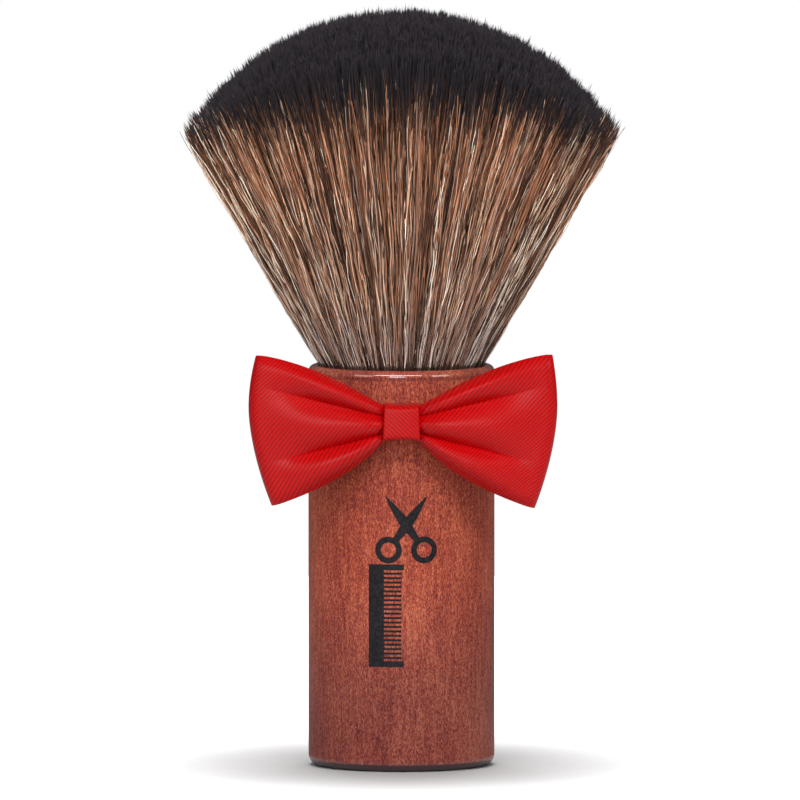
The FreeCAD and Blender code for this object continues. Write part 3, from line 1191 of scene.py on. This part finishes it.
@dataclass
class BowRibbon:
    """One loop of satin ribbon, pinched so that each wing has three lobes. Sizes in millimetres.

    A fade is the shares of the way out where it starts and ends. Powers shape a curve, low part first.
    """

    height: float
    back: float
    front: float
    thickness: float = 0.5
    pinch_half_height: float = 2.95
    pinch_end: float = 3.6
    bulge: float = 1.1
    fold_radius: float = 1.75
    lobe_depth: float = 2.3
    lip: float = 0.4
    lip_inset: float = 0.28
    lip_width: float = 0.22
    edge_roll: float = 1.15
    roll_width: float = 2.6
    crests: tuple[float, float, float] = (0.56, 0.52, 0.66)
    crest_powers: Pair = (2.1, 1.9)
    lobe_fade: Pair = (0.56, 1.0)
    lip_fade: Pair = (0.5, 0.85)
    dip_fade: Pair = (0.1, 0.26)
    widest: float = 3.0
    end_powers: Pair = (1.7, 1.9)
    top_power: float = 1.5
    setback: float = 0.2
    quick: float = 0.35
    dip: float = 0.8
    rows_in_lobe: int = 16
    front_columns: int = 36
    fold_columns: int = 9
    back_columns: int = 14
    wings: tuple[Wing, Wing] = (
        Wing(1, (30.5, 13.7), (26.9, -17.5), 31.5),
        Wing(-1, (29.4, 13.5), (26.2, -17.0), 30.9),
    )

    def build(self) -> Piece:
        """Returns:
            The ribbon.
        """
        points, across, along = [], [], []
        for wing in self.wings:
            columns = self._wing_columns(wing)
            if wing.side < 0:
                columns = columns[::-1]
            for column, run in columns:
                points.append(column)
                across.append(np.full(len(column), run * wing.side))
                along.append(column[:, 2] - self.height)
        rows = len(points[0])
        flat = np.concatenate(points) * MM
        piece = mesh_from("bow_ribbon", flat, self._loop_faces(len(points), rows))
        set_cloth_uv(piece, np.concatenate(across) * MM, np.concatenate(along) * MM)
        modify(piece, "SOLIDIFY", thickness=self.thickness * MM, offset=0.0)
        subdivide(piece, 1)
        satin = SatinTwill("red_satin", Weave.RIGHT).material()
        finish_piece(piece, "bow", "bow_satin", [satin], "bow_loop")
        return piece

    def _loop_faces(self, columns: int, rows: int) -> list[tuple[int, ...]]:
        """The quads of the closed loop, facing outwards.

        Args:
            columns: how many columns of points.
            rows: how many points in a column.

        Returns:
            The quads.
        """
        faces = grid_faces(columns, rows)
        last = (columns - 1) * rows
        faces += [(last + row, last + row + 1, row + 1, row) for row in range(rows - 1)]
        return faces

    def _wing_columns(self, wing: Wing) -> list[tuple[Array, float]]:
        """A wing's columns of points from the middle of the front, round its fold, to the middle of the back.

        Args:
            wing: the wing.

        Returns:
            Each column's points, and how far along the ribbon it is.
        """
        columns = []
        for step in range(self.front_columns):
            share = (step / (self.front_columns - 1)) ** 1.15
            columns.append((self._layer(wing, share, True), share * wing.reach))
        run = wing.reach
        for step in range(1, self.fold_columns + 1):
            angle = math.pi * step / (self.fold_columns + 1)
            columns.append((self._fold(wing, angle), run + self.fold_radius * angle))
        run += math.pi * self.fold_radius
        for step in range(self.back_columns):
            share = 1 - step / (self.back_columns - 1)
            columns.append((self._layer(wing, share, False), run + (1 - share) * wing.reach))
        return columns[1:] if wing.side > 0 else columns[:-1]

    def _edges(self, wing: Wing, share: float) -> tuple[float, float, float, float]:
        """The heights of the low edge, the two creases and the top edge, that share of the way out.

        Args:
            wing: the wing.
            share: how far out, as a share of the way.

        Returns:
            The four heights, from the lowest.
        """
        start = self.pinch_half_height
        past = max(0.0, share * (wing.reach - self.fold_radius) - self.pinch_end)
        opened = past / (wing.reach - self.pinch_end)
        low = -start + (wing.tip_low[1] + start) * self._flare(opened)
        top = start + (wing.tip_top[1] - start) * (1 - max(0.0, 1 - opened) ** self.top_power)
        crease_low = wing.crease_low[0] + wing.crease_low[1] * past
        crease_top = wing.crease_top[0] + wing.crease_top[1] * past
        return low, crease_low, crease_top, top

    def _flare(self, opened: float) -> float:
        """How far the low edge has spread: quickly out of the pinch, then in a straight line."""
        return 0.5 * opened + 0.5 * (1 - math.exp(-opened / self.quick)) / (1 - math.exp(-1 / self.quick))

    def _end_share(self, wing: Wing, angle: float = math.pi / 2) -> float:
        """How far out the fold reaches at an angle, as a share of the way out; a little more than 1."""
        return 1 + self.fold_radius * math.sin(angle) / (wing.reach - self.fold_radius)

    def _rows(self, edges: Sequence[float]) -> list[tuple[int, Array, Array]]:
        """Each lobe's number, its rows as shares of the lobe, and their heights, from the low edge up.

        Args:
            edges: the heights of the edges and creases there.

        Returns:
            A number, shares and heights for each lobe.
        """
        rows = []
        for lobe in range(3):
            local = 0.5 - 0.5 * np.cos(math.pi * np.linspace(0, 1, self.rows_in_lobe + 1))
            local = local if lobe == 2 else local[:-1]
            rows.append((lobe, local, edges[lobe] + (edges[lobe + 1] - edges[lobe]) * local))
        return rows

    def _across(self, wing: Wing, rise: Array) -> Array:
        """How far out the fold stands at each height, on a curve through both tips.

        Args:
            wing: the wing.
            rise: the heights.

        Returns:
            The distances from the knot's middle.
        """
        across = wing.reach
        for tip, power in ((wing.tip_top, self.end_powers[1]), (wing.tip_low, self.end_powers[0])):
            beyond = np.clip((rise - self.widest) / (tip[1] - self.widest), 0, 1)
            across = across - (wing.reach - tip[0]) * beyond**power
        return across

    def _layer(self, wing: Wing, share: float, front: bool) -> Array:
        """One column of the front or the back layer, from its low edge up.

        Args:
            wing: the wing.
            share: how far out, as a share of the way.
            front: whether it is the front layer.

        Returns:
            Its points.
        """
        edges = self._edges(wing, share)
        tips = self._rows(self._edges(wing, self._end_share(wing)))
        columns = []
        for (lobe, local, rise), (_, _, tip_rise) in zip(self._rows(edges), tips):
            across = self._across(wing, tip_rise) - self.fold_radius
            swell = self._swell(share, local, edges[lobe + 1] - edges[lobe], lobe)
            roll = self._roll(rise, edges)
            depth = self._front_depth(share) + swell - roll if front else self._back_depth(share) + 0.3 * roll
            columns.append(np.stack([wing.side * across * share, -depth, self.height + rise], 1))
        return np.concatenate(columns)

    def _swell(self, share: float, local: Array, size: float, lobe: int) -> Array:
        """How far a lobe stands forward of its creases, with a thin lip along each; it fades outwards.

        Args:
            share: how far out, as a share of the way.
            local: the rows' shares of the lobe.
            size: the lobe's height.
            lobe: the lobe's number, from the low edge.

        Returns:
            The depths.
        """
        near, crest = 1 - float(ease(*self.lobe_fade, share)), self.crests[lobe]
        low = 1 - ((crest - local) / crest).clip(0, 1) ** self.crest_powers[0]
        high = 1 - ((local - crest) / (1 - crest)).clip(0, 1) ** self.crest_powers[1]
        lip = self.lip * np.exp(-((((1 - local) * size - self.lip_inset) / self.lip_width) ** 2)) * (lobe < 2)
        lip *= min(1.0, size / 4) * (1 - float(ease(*self.lip_fade, share)))
        depth = min(self.lobe_depth, 0.5 * size)
        return near * depth * (np.minimum(low, high) - 0.7) + lip

    def _roll(self, rise: Array, edges: Sequence[float]) -> Array:
        """How far the ribbon turns back near its two long edges."""
        inset = np.minimum(rise - edges[0], edges[3] - rise) / self.roll_width
        return self.edge_roll * (1 - inset).clip(0, 1) ** 2.2

    def _front_depth(self, share: float) -> float:
        """The front layer's depth before its lobes.

        Args:
            share: how far out, as a share of the way.

        Returns:
            The depth.
        """
        crown = self.bulge * math.sin(math.pi * min(share, 1.0) ** 0.8)
        dip = self.dip * (1 - float(ease(*self.dip_fade, share)))
        return self.front - self.setback - 0.5 * self.thickness + crown - dip

    def _back_depth(self, share: float) -> float:
        """The back layer's depth."""
        return self.back + 0.5 * self.thickness + 0.5 * float(ease(0.0, 0.5, share))

    def _fold(self, wing: Wing, angle: float) -> Array:
        """One column round the outer fold, from the front at 0 to the back at half a turn.

        Args:
            wing: the wing.
            angle: radians round the fold.

        Returns:
            Its points.
        """
        outer, inner = self._layer(wing, 1.0, True), self._layer(wing, 1.0, False)
        half = 0.5 * (inner[:, 1] - outer[:, 1])
        made = 0.5 * (outer + inner)
        made[:, 0] += wing.side * self.fold_radius * math.sin(angle)
        made[:, 1] -= half * math.cos(angle)
        rows = self._rows(self._edges(wing, self._end_share(wing, angle)))
        made[:, 2] = self.height + np.concatenate([rise for _, _, rise in rows])
        return made


@dataclass
class KnotWrap:
    """The short piece of ribbon round the pinch, closed behind the elastic. Sizes in millimetres."""

    height: float
    front: float
    half_width: float = 3.65
    half_height: float = 3.78
    thickness: float = 0.4
    waist: float = 0.32
    flare: float = 0.045
    across_rows: int = 13
    corner_steps: int = 6
    back_radius: float = 19.28
    crown: float = 0.16
    back_corner: float = 0.3
    front_corner: float = 1.0

    def build(self) -> Piece:
        """Builds the wrap.

        Returns:
            The wrap.
        """
        loop = self._loop()
        points, across, along = [], [], []
        for row in range(self.across_rows):
            share = 2 * row / (self.across_rows - 1) - 1
            for forward, rise, run in loop:
                x = share * self.half_width * (1 - self.flare * rise / self.half_height)
                z = rise * (1 - self.waist * (1 - share * share) / self.half_height)
                crown = self.crown * (1 - share * share) if forward > self.front - 1 else 0.0
                depth = forward + crown if forward > self.back_radius + 0.6 else self._behind(x, forward)
                points.append((x, -depth, self.height + z))
                across.append(x)
                along.append(run)
        count = len(loop)
        faces = grid_faces(self.across_rows, count, close_columns=True)
        piece = mesh_from("bow_knot_wrap", np.array(points) * MM, faces)
        set_cloth_uv(piece, np.array(across) * MM, np.array(along) * MM)
        modify(piece, "SOLIDIFY", thickness=self.thickness * MM, offset=0.0)
        subdivide(piece, 2)
        satin = SatinTwill("red_satin_knot", Weave.LEFT).material()
        return finish_piece(piece, "bow", "bow_satin", [satin], "knot_wrap")

    def _behind(self, x: float, forward: float) -> float:
        """The depth of the wrap's back, which lies against the handle's curve."""
        return forward - (self.back_radius - math.sqrt(self.back_radius**2 - x * x))

    def _loop(self) -> list[tuple[float, float, float]]:
        """The wrap's way round the pinch, as (depth, rise, run), from the middle of its back and down first.

        Returns:
            The points of the way.
        """
        front = self.front - 0.5 * self.thickness
        back, half = self.back_radius, self.half_height - 0.5 * self.thickness
        tight, wide = self.back_corner, self.front_corner
        corners = [(back, -half, tight, 2), (front, -half, wide, 3)]
        corners += [(front, half, wide, 0), (back, half, tight, 1)]
        way = [(back, 0.0)]
        for depth, rise, radius, quarter in corners:
            centre = (depth + (radius if depth == back else -radius), rise - math.copysign(radius, rise))
            for step in range(self.corner_steps):
                angle = math.pi / 2 * (quarter + step / (self.corner_steps - 1))
                way.append((centre[0] + radius * math.cos(angle), centre[1] + radius * math.sin(angle)))
            if (depth, rise) == (front, -half):
                way.append((front, 0.0))
        run, made = 0.0, []
        for i, (depth, rise) in enumerate(way):
            run += math.dist(way[i - 1], (depth, rise)) if i else 0.0
            made.append((depth, rise, run))
        return made


# ---------------------------------------------------------------- elastic band


@dataclass
class ElasticBand:
    """The elastic round the handle, its ends lapped and sewn at the back. Sizes in millimetres."""

    low: float
    top: float
    inner_radius: float
    thickness: float = 0.6
    lap_half_angle: float = math.radians(13)
    strands: int = 7
    rib: float = 0.07
    stitch_rows: Pair = (math.radians(-8), math.radians(8))
    stitches: int = 5
    edge_round: float = 0.12
    edge_thinning: float = 0.22
    lap_gap: float = 0.005
    stitch_radius: float = 0.14
    stitch_path: tuple[Pair, ...] = ((-0.14, -0.4), (0.08, 0.0), (-0.14, 0.4))

    def build(self) -> None:
        """Builds the ring, its lap and the stitches."""
        elastic = WovenElastic().material()
        ring = turn_profile("neck_elastic", self._profile(self.inner_radius), 120, closed=True)
        finish_piece(ring, "band", "elastic", [elastic], "neck_band")
        finish_piece(self._lap(), "band", "elastic", [elastic])
        self._sew()

    def _profile(self, inner: float) -> list[Pair]:
        """A section through the elastic, outside first and from the top down, with its strands as ribs.

        Args:
            inner: the section's inner radius.

        Returns:
            (radius, height) points.
        """
        outer, corner = inner + self.thickness, self.edge_round
        samples = 4 * self.strands + 1
        profile = []
        for i in range(samples):
            share = i / (samples - 1)
            height = self.top - corner - (self.top - self.low - 2 * corner) * share
            bump = self.rib * abs(math.sin(math.pi * self.strands * share))
            profile.append((outer - self.rib + bump, height))
        edge = outer - self.edge_thinning
        profile += [(edge, self.low), (inner + corner, self.low), (inner, self.low + corner)]
        return profile + [(inner, self.top - corner), (inner + corner, self.top), (edge, self.top)]

    def _lap(self) -> Piece:
        """The second layer over the ends, closed at both of its ends.

        Returns:
            The lap.
        """
        profile = self._profile(self.inner_radius + self.thickness + self.lap_gap)
        steps = 17
        points = []
        for step in range(steps):
            angle = math.pi / 2 + self.lap_half_angle * (2 * step / (steps - 1) - 1)
            points += [(r * math.cos(angle), r * math.sin(angle), z) for r, z in profile]
        count = len(profile)
        faces = grid_faces(steps, count, close_columns=True)
        faces += [tuple(range(count))[::-1], tuple(range((steps - 1) * count, steps * count))]
        return mesh_from("neck_elastic_lap", np.array(points) * MM, faces)

    def _sew(self) -> None:
        """Two rows of upright stitches that dip into the lap at both ends."""
        radius = self.inner_radius + 2 * self.thickness
        middle = 0.5 * (self.low + self.top)
        curve = bpy.data.curves.new("lap_stitches", "CURVE")
        curve.dimensions, curve.use_fill_caps = "3D", True
        curve.bevel_depth, curve.bevel_resolution, curve.resolution_u = self.stitch_radius * MM, 3, 6
        for turn in self.stitch_rows:
            for number in range(self.stitches):
                centre = middle + number - (self.stitches - 1) / 2
                spline = curve.splines.new("BEZIER")
                spline.bezier_points.add(2)
                for point, (out, rise) in zip(spline.bezier_points, self.stitch_path):
                    reach = radius + out
                    point.co = Vector((reach * math.sin(turn), reach * math.cos(turn), centre + rise)) * MM
                    point.handle_left_type = point.handle_right_type = "AUTO"
        colours = ink_to_light(196, 40, 40), ink_to_light(120, 14, 18)
        thread = SpunThread("red_thread", *colours, 0.22).material()
        finish_piece(new_object("lap_stitches", curve), "band", "sewing_thread", [thread], "band_stitching")


# ---------------------------------------------------------------- handle


@dataclass
class TurnedHandle:
    """The turned handle with its socket. Sizes in millimetres, from the frame."""

    radius: float
    height: float
    socket_radius: float
    socket_floor: float
    base_round: float = 2.2
    lip_round: float = 1.3
    mouth_round: float = 0.4
    floor_round: float = 0.4
    arc_steps: int = 8

    def build(self) -> None:
        """Builds the handle from its half section."""
        piece = turn_profile("handle_turned", self._profile(), 192)
        finish_piece(piece, "handle", "handle_wood", [StainedWood(self.height).material()], "handle")

    def _profile(self) -> list[Pair]:
        """The half section, from the socket's floor out over the lip and down to the middle of the base.

        Returns:
            (radius, height) points.
        """
        socket, floor, top = self.socket_radius, self.socket_floor, self.height
        mouth, lip, base = self.mouth_round, self.lip_round, self.base_round
        profile = [(0.0, floor), (socket - self.floor_round, floor), (socket, floor + self.floor_round)]
        profile += [(socket, top - mouth), *self._arc(socket + mouth, top - mouth, mouth, 180, 90)]
        profile += self._arc(self.radius - lip, top - lip, lip, 90, 0)
        profile += self._arc(self.radius - base, base, base, 0, -90)
        return [*profile, (0.0, 0.0)]

    def _arc(self, x: float, z: float, radius: float, start: float, end: float) -> list[Pair]:
        """Points on an arc about (x, z), in degrees."""
        angles = np.radians(np.linspace(start, end, self.arc_steps))
        return [(x + radius * math.cos(angle), z + radius * math.sin(angle)) for angle in angles]


@dataclass
class PrintedMark:
    """A barber's mark printed on the handle: open scissors over a comb. Sizes in millimetres."""

    radius: float
    lift: float = 0.005
    thickness: float = 0.01
    grid: float = 0.8
    spine: Pair = (-3.4, -0.2)
    tooth_end: float = 3.4
    guard_end: float = 3.9
    guard_width: float = 1.2
    teeth: int = 20
    opening: float = math.radians(36)
    ring_radii: Pair = (2.75, 1.55)
    points: list[tuple[float, float, float]] = field(default_factory=list)
    faces: list[tuple[int, ...]] = field(default_factory=list)

    def build(self) -> None:
        """Draws the mark flat, lays it round the handle and thickens it."""
        self._comb(-3.4, 21.6, 42.6)
        self._scissors(1.0, 51.0, 14.2)
        laid = np.array([self._on_handle(*point) for point in self.points]) * MM
        piece = mesh_from("barber_mark", laid, self.faces, smooth=False)
        modify(piece, "WELD", merge_threshold=MERGE)
        modify(piece, "SOLIDIFY", thickness=self.thickness * MM, offset=1.0)
        finish_piece(piece, "handle", "print_ink", [PrintedInk().material()])

    def _on_handle(self, x: float, z: float, lift: float) -> tuple[float, float, float]:
        """A flat point laid on the front of the handle, that much above its surface."""
        reach, angle = self.radius + lift, x / self.radius
        return (reach * math.sin(angle), -reach * math.cos(angle), z)

    def _strip(self, low: Sequence[Pair], top: Sequence[Pair]) -> None:
        """Quads between two lines of as many points, anticlockwise when low is below top.

        Args:
            low: the first line's points.
            top: the second line's.
        """
        first = len(self.points)
        self.points += [(x, z, self.lift) for x, z in (*low, *top)]
        self.faces += grid_faces(2, len(low), first=first)

    def _bar(self, x: Pair, z: Pair) -> None:
        """An upright rectangle, in steps fine enough to follow the handle.

        Args:
            x: its left and right.
            z: its bottom and top.
        """
        steps = max(2, math.ceil((x[1] - x[0]) / self.grid) + 1)
        across = np.linspace(*x, steps)
        self._strip([(a, z[0]) for a in across], [(a, z[1]) for a in across])

    def _comb(self, x: float, low: float, top: float) -> None:
        """A comb standing on end, its teeth towards +X.

        Args:
            x: where its teeth start.
            low: its bottom.
            top: its top.
        """
        first, last = low + self.guard_width, top - self.guard_width
        pitch = (top - low - 2 * self.guard_width) / (self.teeth + 0.5)
        feet = [first + (tooth + 0.5) * pitch for tooth in range(self.teeth)]
        levels = [low, first, *(z for foot in feet for z in (foot, foot + 0.5 * pitch)), last, top]
        back, root = x + self.spine[0], x + self.spine[1]
        for number, rise in enumerate(zip(levels, levels[1:])):
            self._bar((back, root), rise)
            if number % 2 == 0:
                guard = number in (0, len(levels) - 2)
                self._bar((root, x + (self.guard_end if guard else self.tooth_end)), rise)

    def _scissors(self, x: float, middle: float, length: float) -> None:
        """A pair of scissors standing open with its points up.

        Args:
            x: the middle of the pivot.
            middle: just above the pivot.
            length: from points to rings.
        """
        for side in (-1, 1):
            self.lift += self.thickness
            lean = side * self.opening
            along = np.array([math.sin(lean), math.cos(lean)])
            beside = np.array([math.cos(lean), -math.sin(lean)])
            pivot = np.array([x, middle - 0.4])
            shares = np.linspace(0, 1, 12)
            blade = [(pivot + along * length * 0.52 * s, 1.05 * (1 - s**1.6) + 0.04) for s in shares]
            shank = [(pivot - along * length * 0.252 * s, 1.09 - 0.45 * s) for s in shares]
            for outline in (blade[::-1], shank):
                self._strip(*([tuple(p + beside * w * way) for p, w in outline] for way in (-1, 1)))
            self._ring(tuple(pivot - along * length * 0.44))

    def _ring(self, centre: Pair) -> None:
        """A finger ring.

        Args:
            centre: its middle.
        """
        x, z = centre
        angles = np.linspace(0, TURN, 33)
        self._strip(*([(x + r * math.cos(a), z + r * math.sin(a)) for a in angles] for r in self.ring_radii))


# ---------------------------------------------------------------- what stays from the frame


@dataclass
class HiddenKnot:
    """The frame's own pieces in the socket and under the wrap, which keep their shape and get a finish."""

    nodes: dict[str, Piece]

    def dress(self) -> None:
        """Gives each piece its material."""
        glue = ink_to_light(206, 196, 172), ink_to_light(176, 160, 128)
        resin = ink_to_light(150, 104, 44), ink_to_light(186, 150, 92)
        twine = ink_to_light(206, 190, 160), ink_to_light(140, 120, 92)
        thread = ink_to_light(190, 36, 36), ink_to_light(110, 12, 16)
        finishes = {
            "glue_bed": CastMatter("dried_glue", *glue, 0.4),
            "resin_plug": CastMatter("set_resin", *resin, 0.2),
            "knot_cup": DrawnAluminium(),
            "binding_cord": SpunThread("waxed_twine", *twine, 0.6),
            "gather_thread": SpunThread("gather_thread", *thread, 0.22),
        }
        for name, finish in finishes.items():
            piece = self.nodes[name]
            piece.data.materials.clear()
            piece.data.materials.append(finish.material())
            log.info("%s: dressed", name)


# ---------------------------------------------------------------- studio


class SatinLink(Enum):
    """How a lamp treats the satin: as it treats everything, not at all, or alone."""

    AS_ALL = ""
    NEVER = "EXCLUDE"
    ALONE = "INCLUDE"


@dataclass(frozen=True)
class Lamp:
    """A soft light that faces the brush: place and width and height in metres, power in watts."""

    name: str
    place: tuple[float, float, float]
    size: Pair
    power: float
    glossy: bool = True
    satin: SatinLink = SatinLink.AS_ALL


@dataclass
class Studio:
    """A plain white studio: pale floor, large soft lights and the camera."""

    target: tuple[float, float, float] = (-0.0003, 0.0, 0.0747)
    distance: float = 5.0
    elevation: float = math.radians(4.5)
    view_height: float = 0.1634
    sensor: float = 36.0
    surround: float = 0.1
    floor_radius: float = 0.45
    floor_level: float = 0.55
    # Where the floor's painted shadow starts to fade and where it is gone, in millimetres from the middle.
    shadow_mm: Pair = (16.0, 88.0)
    satin: tuple[Piece, ...] = ()
    lamps: tuple[Lamp, ...] = (
        Lamp("key", (-0.15, -1.5, 0.4), (0.5, 0.5), 4.5),
        Lamp("side_left", (-1.1, -0.9, 0.6), (0.6, 0.6), 2.2),
        Lamp("side_right", (1.1, -0.9, 0.6), (0.6, 0.6), 3.3),
        Lamp("high_strip", (-0.1, -1.15, 1.0), (1.5, 0.2), 10.0, satin=SatinLink.NEVER),
        Lamp("satin_fill", (0.45, -1.05, 1.0), (0.6, 0.6), 10.0, glossy=False, satin=SatinLink.ALONE),
        Lamp("front_top", (0.0, -0.6, 1.1), (0.7, 0.7), 4.0, glossy=False),
        Lamp("back_top", (0.0, 0.5, 1.15), (0.7, 0.7), 11.0, glossy=False),
    )

    def build(self) -> None:
        """Builds the studio."""
        self._floor()
        self._world()
        for lamp in self.lamps:
            self._light(lamp)
        self._camera()
        bpy.context.scene.view_settings.view_transform = "Standard"

    def _floor(self) -> None:
        """A pale floor that the brush stands on; to the eye it glows plain white away from the brush, which
        leaves a painted shadow round it.
        """
        angles = [TURN * i / 96 for i in range(96)]
        edge = [(self.floor_radius * math.cos(a), self.floor_radius * math.sin(a), 0.0) for a in angles]
        floor = mesh_from("floor", np.array(edge), [tuple(range(96))], smooth=False)
        grey = (self.floor_level,) * 3
        shader = Shader("pale_floor", Base_Color=grey, Roughness=0.7, Specular_IOR_Level=0.1)
        shader.set("Emission Strength", 1.0)
        x, y, _ = shader.object_axes()
        # Painted shadow: the glow that the camera sees fades in between these two distances, so the floor
        # round the brush stays darker; the lamps' cast shadows fall on it as well.
        glow_past_shadow = (x * x + y * y).maths("SQRT").step(*self.shadow_mm)
        seen = Signal(shader, shader.node("ShaderNodeLightPath", {}, {}).outputs["Is Camera Ray"])
        shader.set("Emission Color", shader.mix(glow_past_shadow * seen, (0, 0, 0), (1, 1, 1)))
        floor.data.materials.append(shader.material)

    def _world(self) -> None:
        """White all round to the eye, and a little soft light."""
        world = bpy.data.worlds.new("studio_white")
        world.use_nodes = True
        tree = world.node_tree
        tree.nodes["Background"].inputs["Color"].default_value = (1, 1, 1, 1)
        path = tree.nodes.new("ShaderNodeLightPath")
        level = tree.nodes.new("ShaderNodeMapRange")
        level.inputs["To Min"].default_value = self.surround
        level.inputs["To Max"].default_value = 1.0
        tree.links.new(path.outputs["Is Camera Ray"], level.inputs["Value"])
        tree.links.new(level.outputs[0], tree.nodes["Background"].inputs["Strength"])
        bpy.context.scene.world = world

    def _light(self, lamp: Lamp) -> None:
        """Hangs a lamp, and keeps it off the satin, or for the satin alone, where it says so.

        Args:
            lamp: the lamp.
        """
        data = bpy.data.lights.new(lamp.name, "AREA")
        data.shape = "RECTANGLE"
        data.size, data.size_y = lamp.size
        data.energy = lamp.power
        hung = new_object(lamp.name, data)
        hung.location = lamp.place
        hung.rotation_euler = (Vector(self.target) - Vector(lamp.place)).to_track_quat("-Z", "Y").to_euler()
        hung.visible_camera, hung.visible_glossy = False, lamp.glossy
        if lamp.satin is not SatinLink.AS_ALL:
            members = bpy.data.collections.new(f"{lamp.name}_satin")
            for piece in self.satin:
                members.objects.link(piece)
            for member in members.collection_objects:
                member.light_linking.link_state = lamp.satin.value
            hung.light_linking.receiver_collection = members

    def _camera(self) -> None:
        """The camera, far off with a long lens."""
        data = bpy.data.cameras.new("camera")
        data.sensor_width = self.sensor
        data.lens = self.sensor * self.distance / self.view_height
        data.clip_end = 6 * self.distance
        camera = new_object("camera", data)
        back = Vector((0, -math.cos(self.elevation), math.sin(self.elevation)))
        camera.location = Vector(self.target) + back * self.distance
        camera.rotation_euler = (-back).to_track_quat("-Z", "Y").to_euler()
        bpy.context.scene.camera = camera


def main() -> None:
    """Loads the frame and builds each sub-assembly round it."""
    logging.basicConfig(level=logging.INFO, format="%(name)s %(message)s")
    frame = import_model()
    handle_top, cup_top, fan_top = (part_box(name)[1] for name in ("handle", "knot_cup", "bristle_fan"))
    bow_low, bow_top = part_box("bow_loop")
    wrap_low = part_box("knot_wrap")[0]
    band_low, band_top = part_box("neck_band")
    socket_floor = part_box("glue_bed")[0].z / MM
    bow_height = 0.5 * (band_low.z + band_top.z) / MM - BOW_SAG
    radius, height, mouth = handle_top.x / MM, handle_top.z / MM, cup_top.x / MM

    TurnedHandle(radius, height, mouth + CUP_CLEARANCE, socket_floor).build()
    PrintedMark(radius).build()
    HiddenKnot(frame["nodes"]).dress()
    BristleTuft(height, mouth, fan_top.z / MM).build()
    ElasticBand(band_low.z / MM, band_top.z / MM, band_top.x / MM - ElasticBand.thickness).build()
    ribbon = BowRibbon(bow_height, -bow_top.y / MM, -bow_low.y / MM - BOW_BULGE).build()
    wrap = KnotWrap(bow_height, -wrap_low.y / MM).build()
    Studio(satin=(ribbon, wrap)).build()


if __name__ == "__main__":
    main()
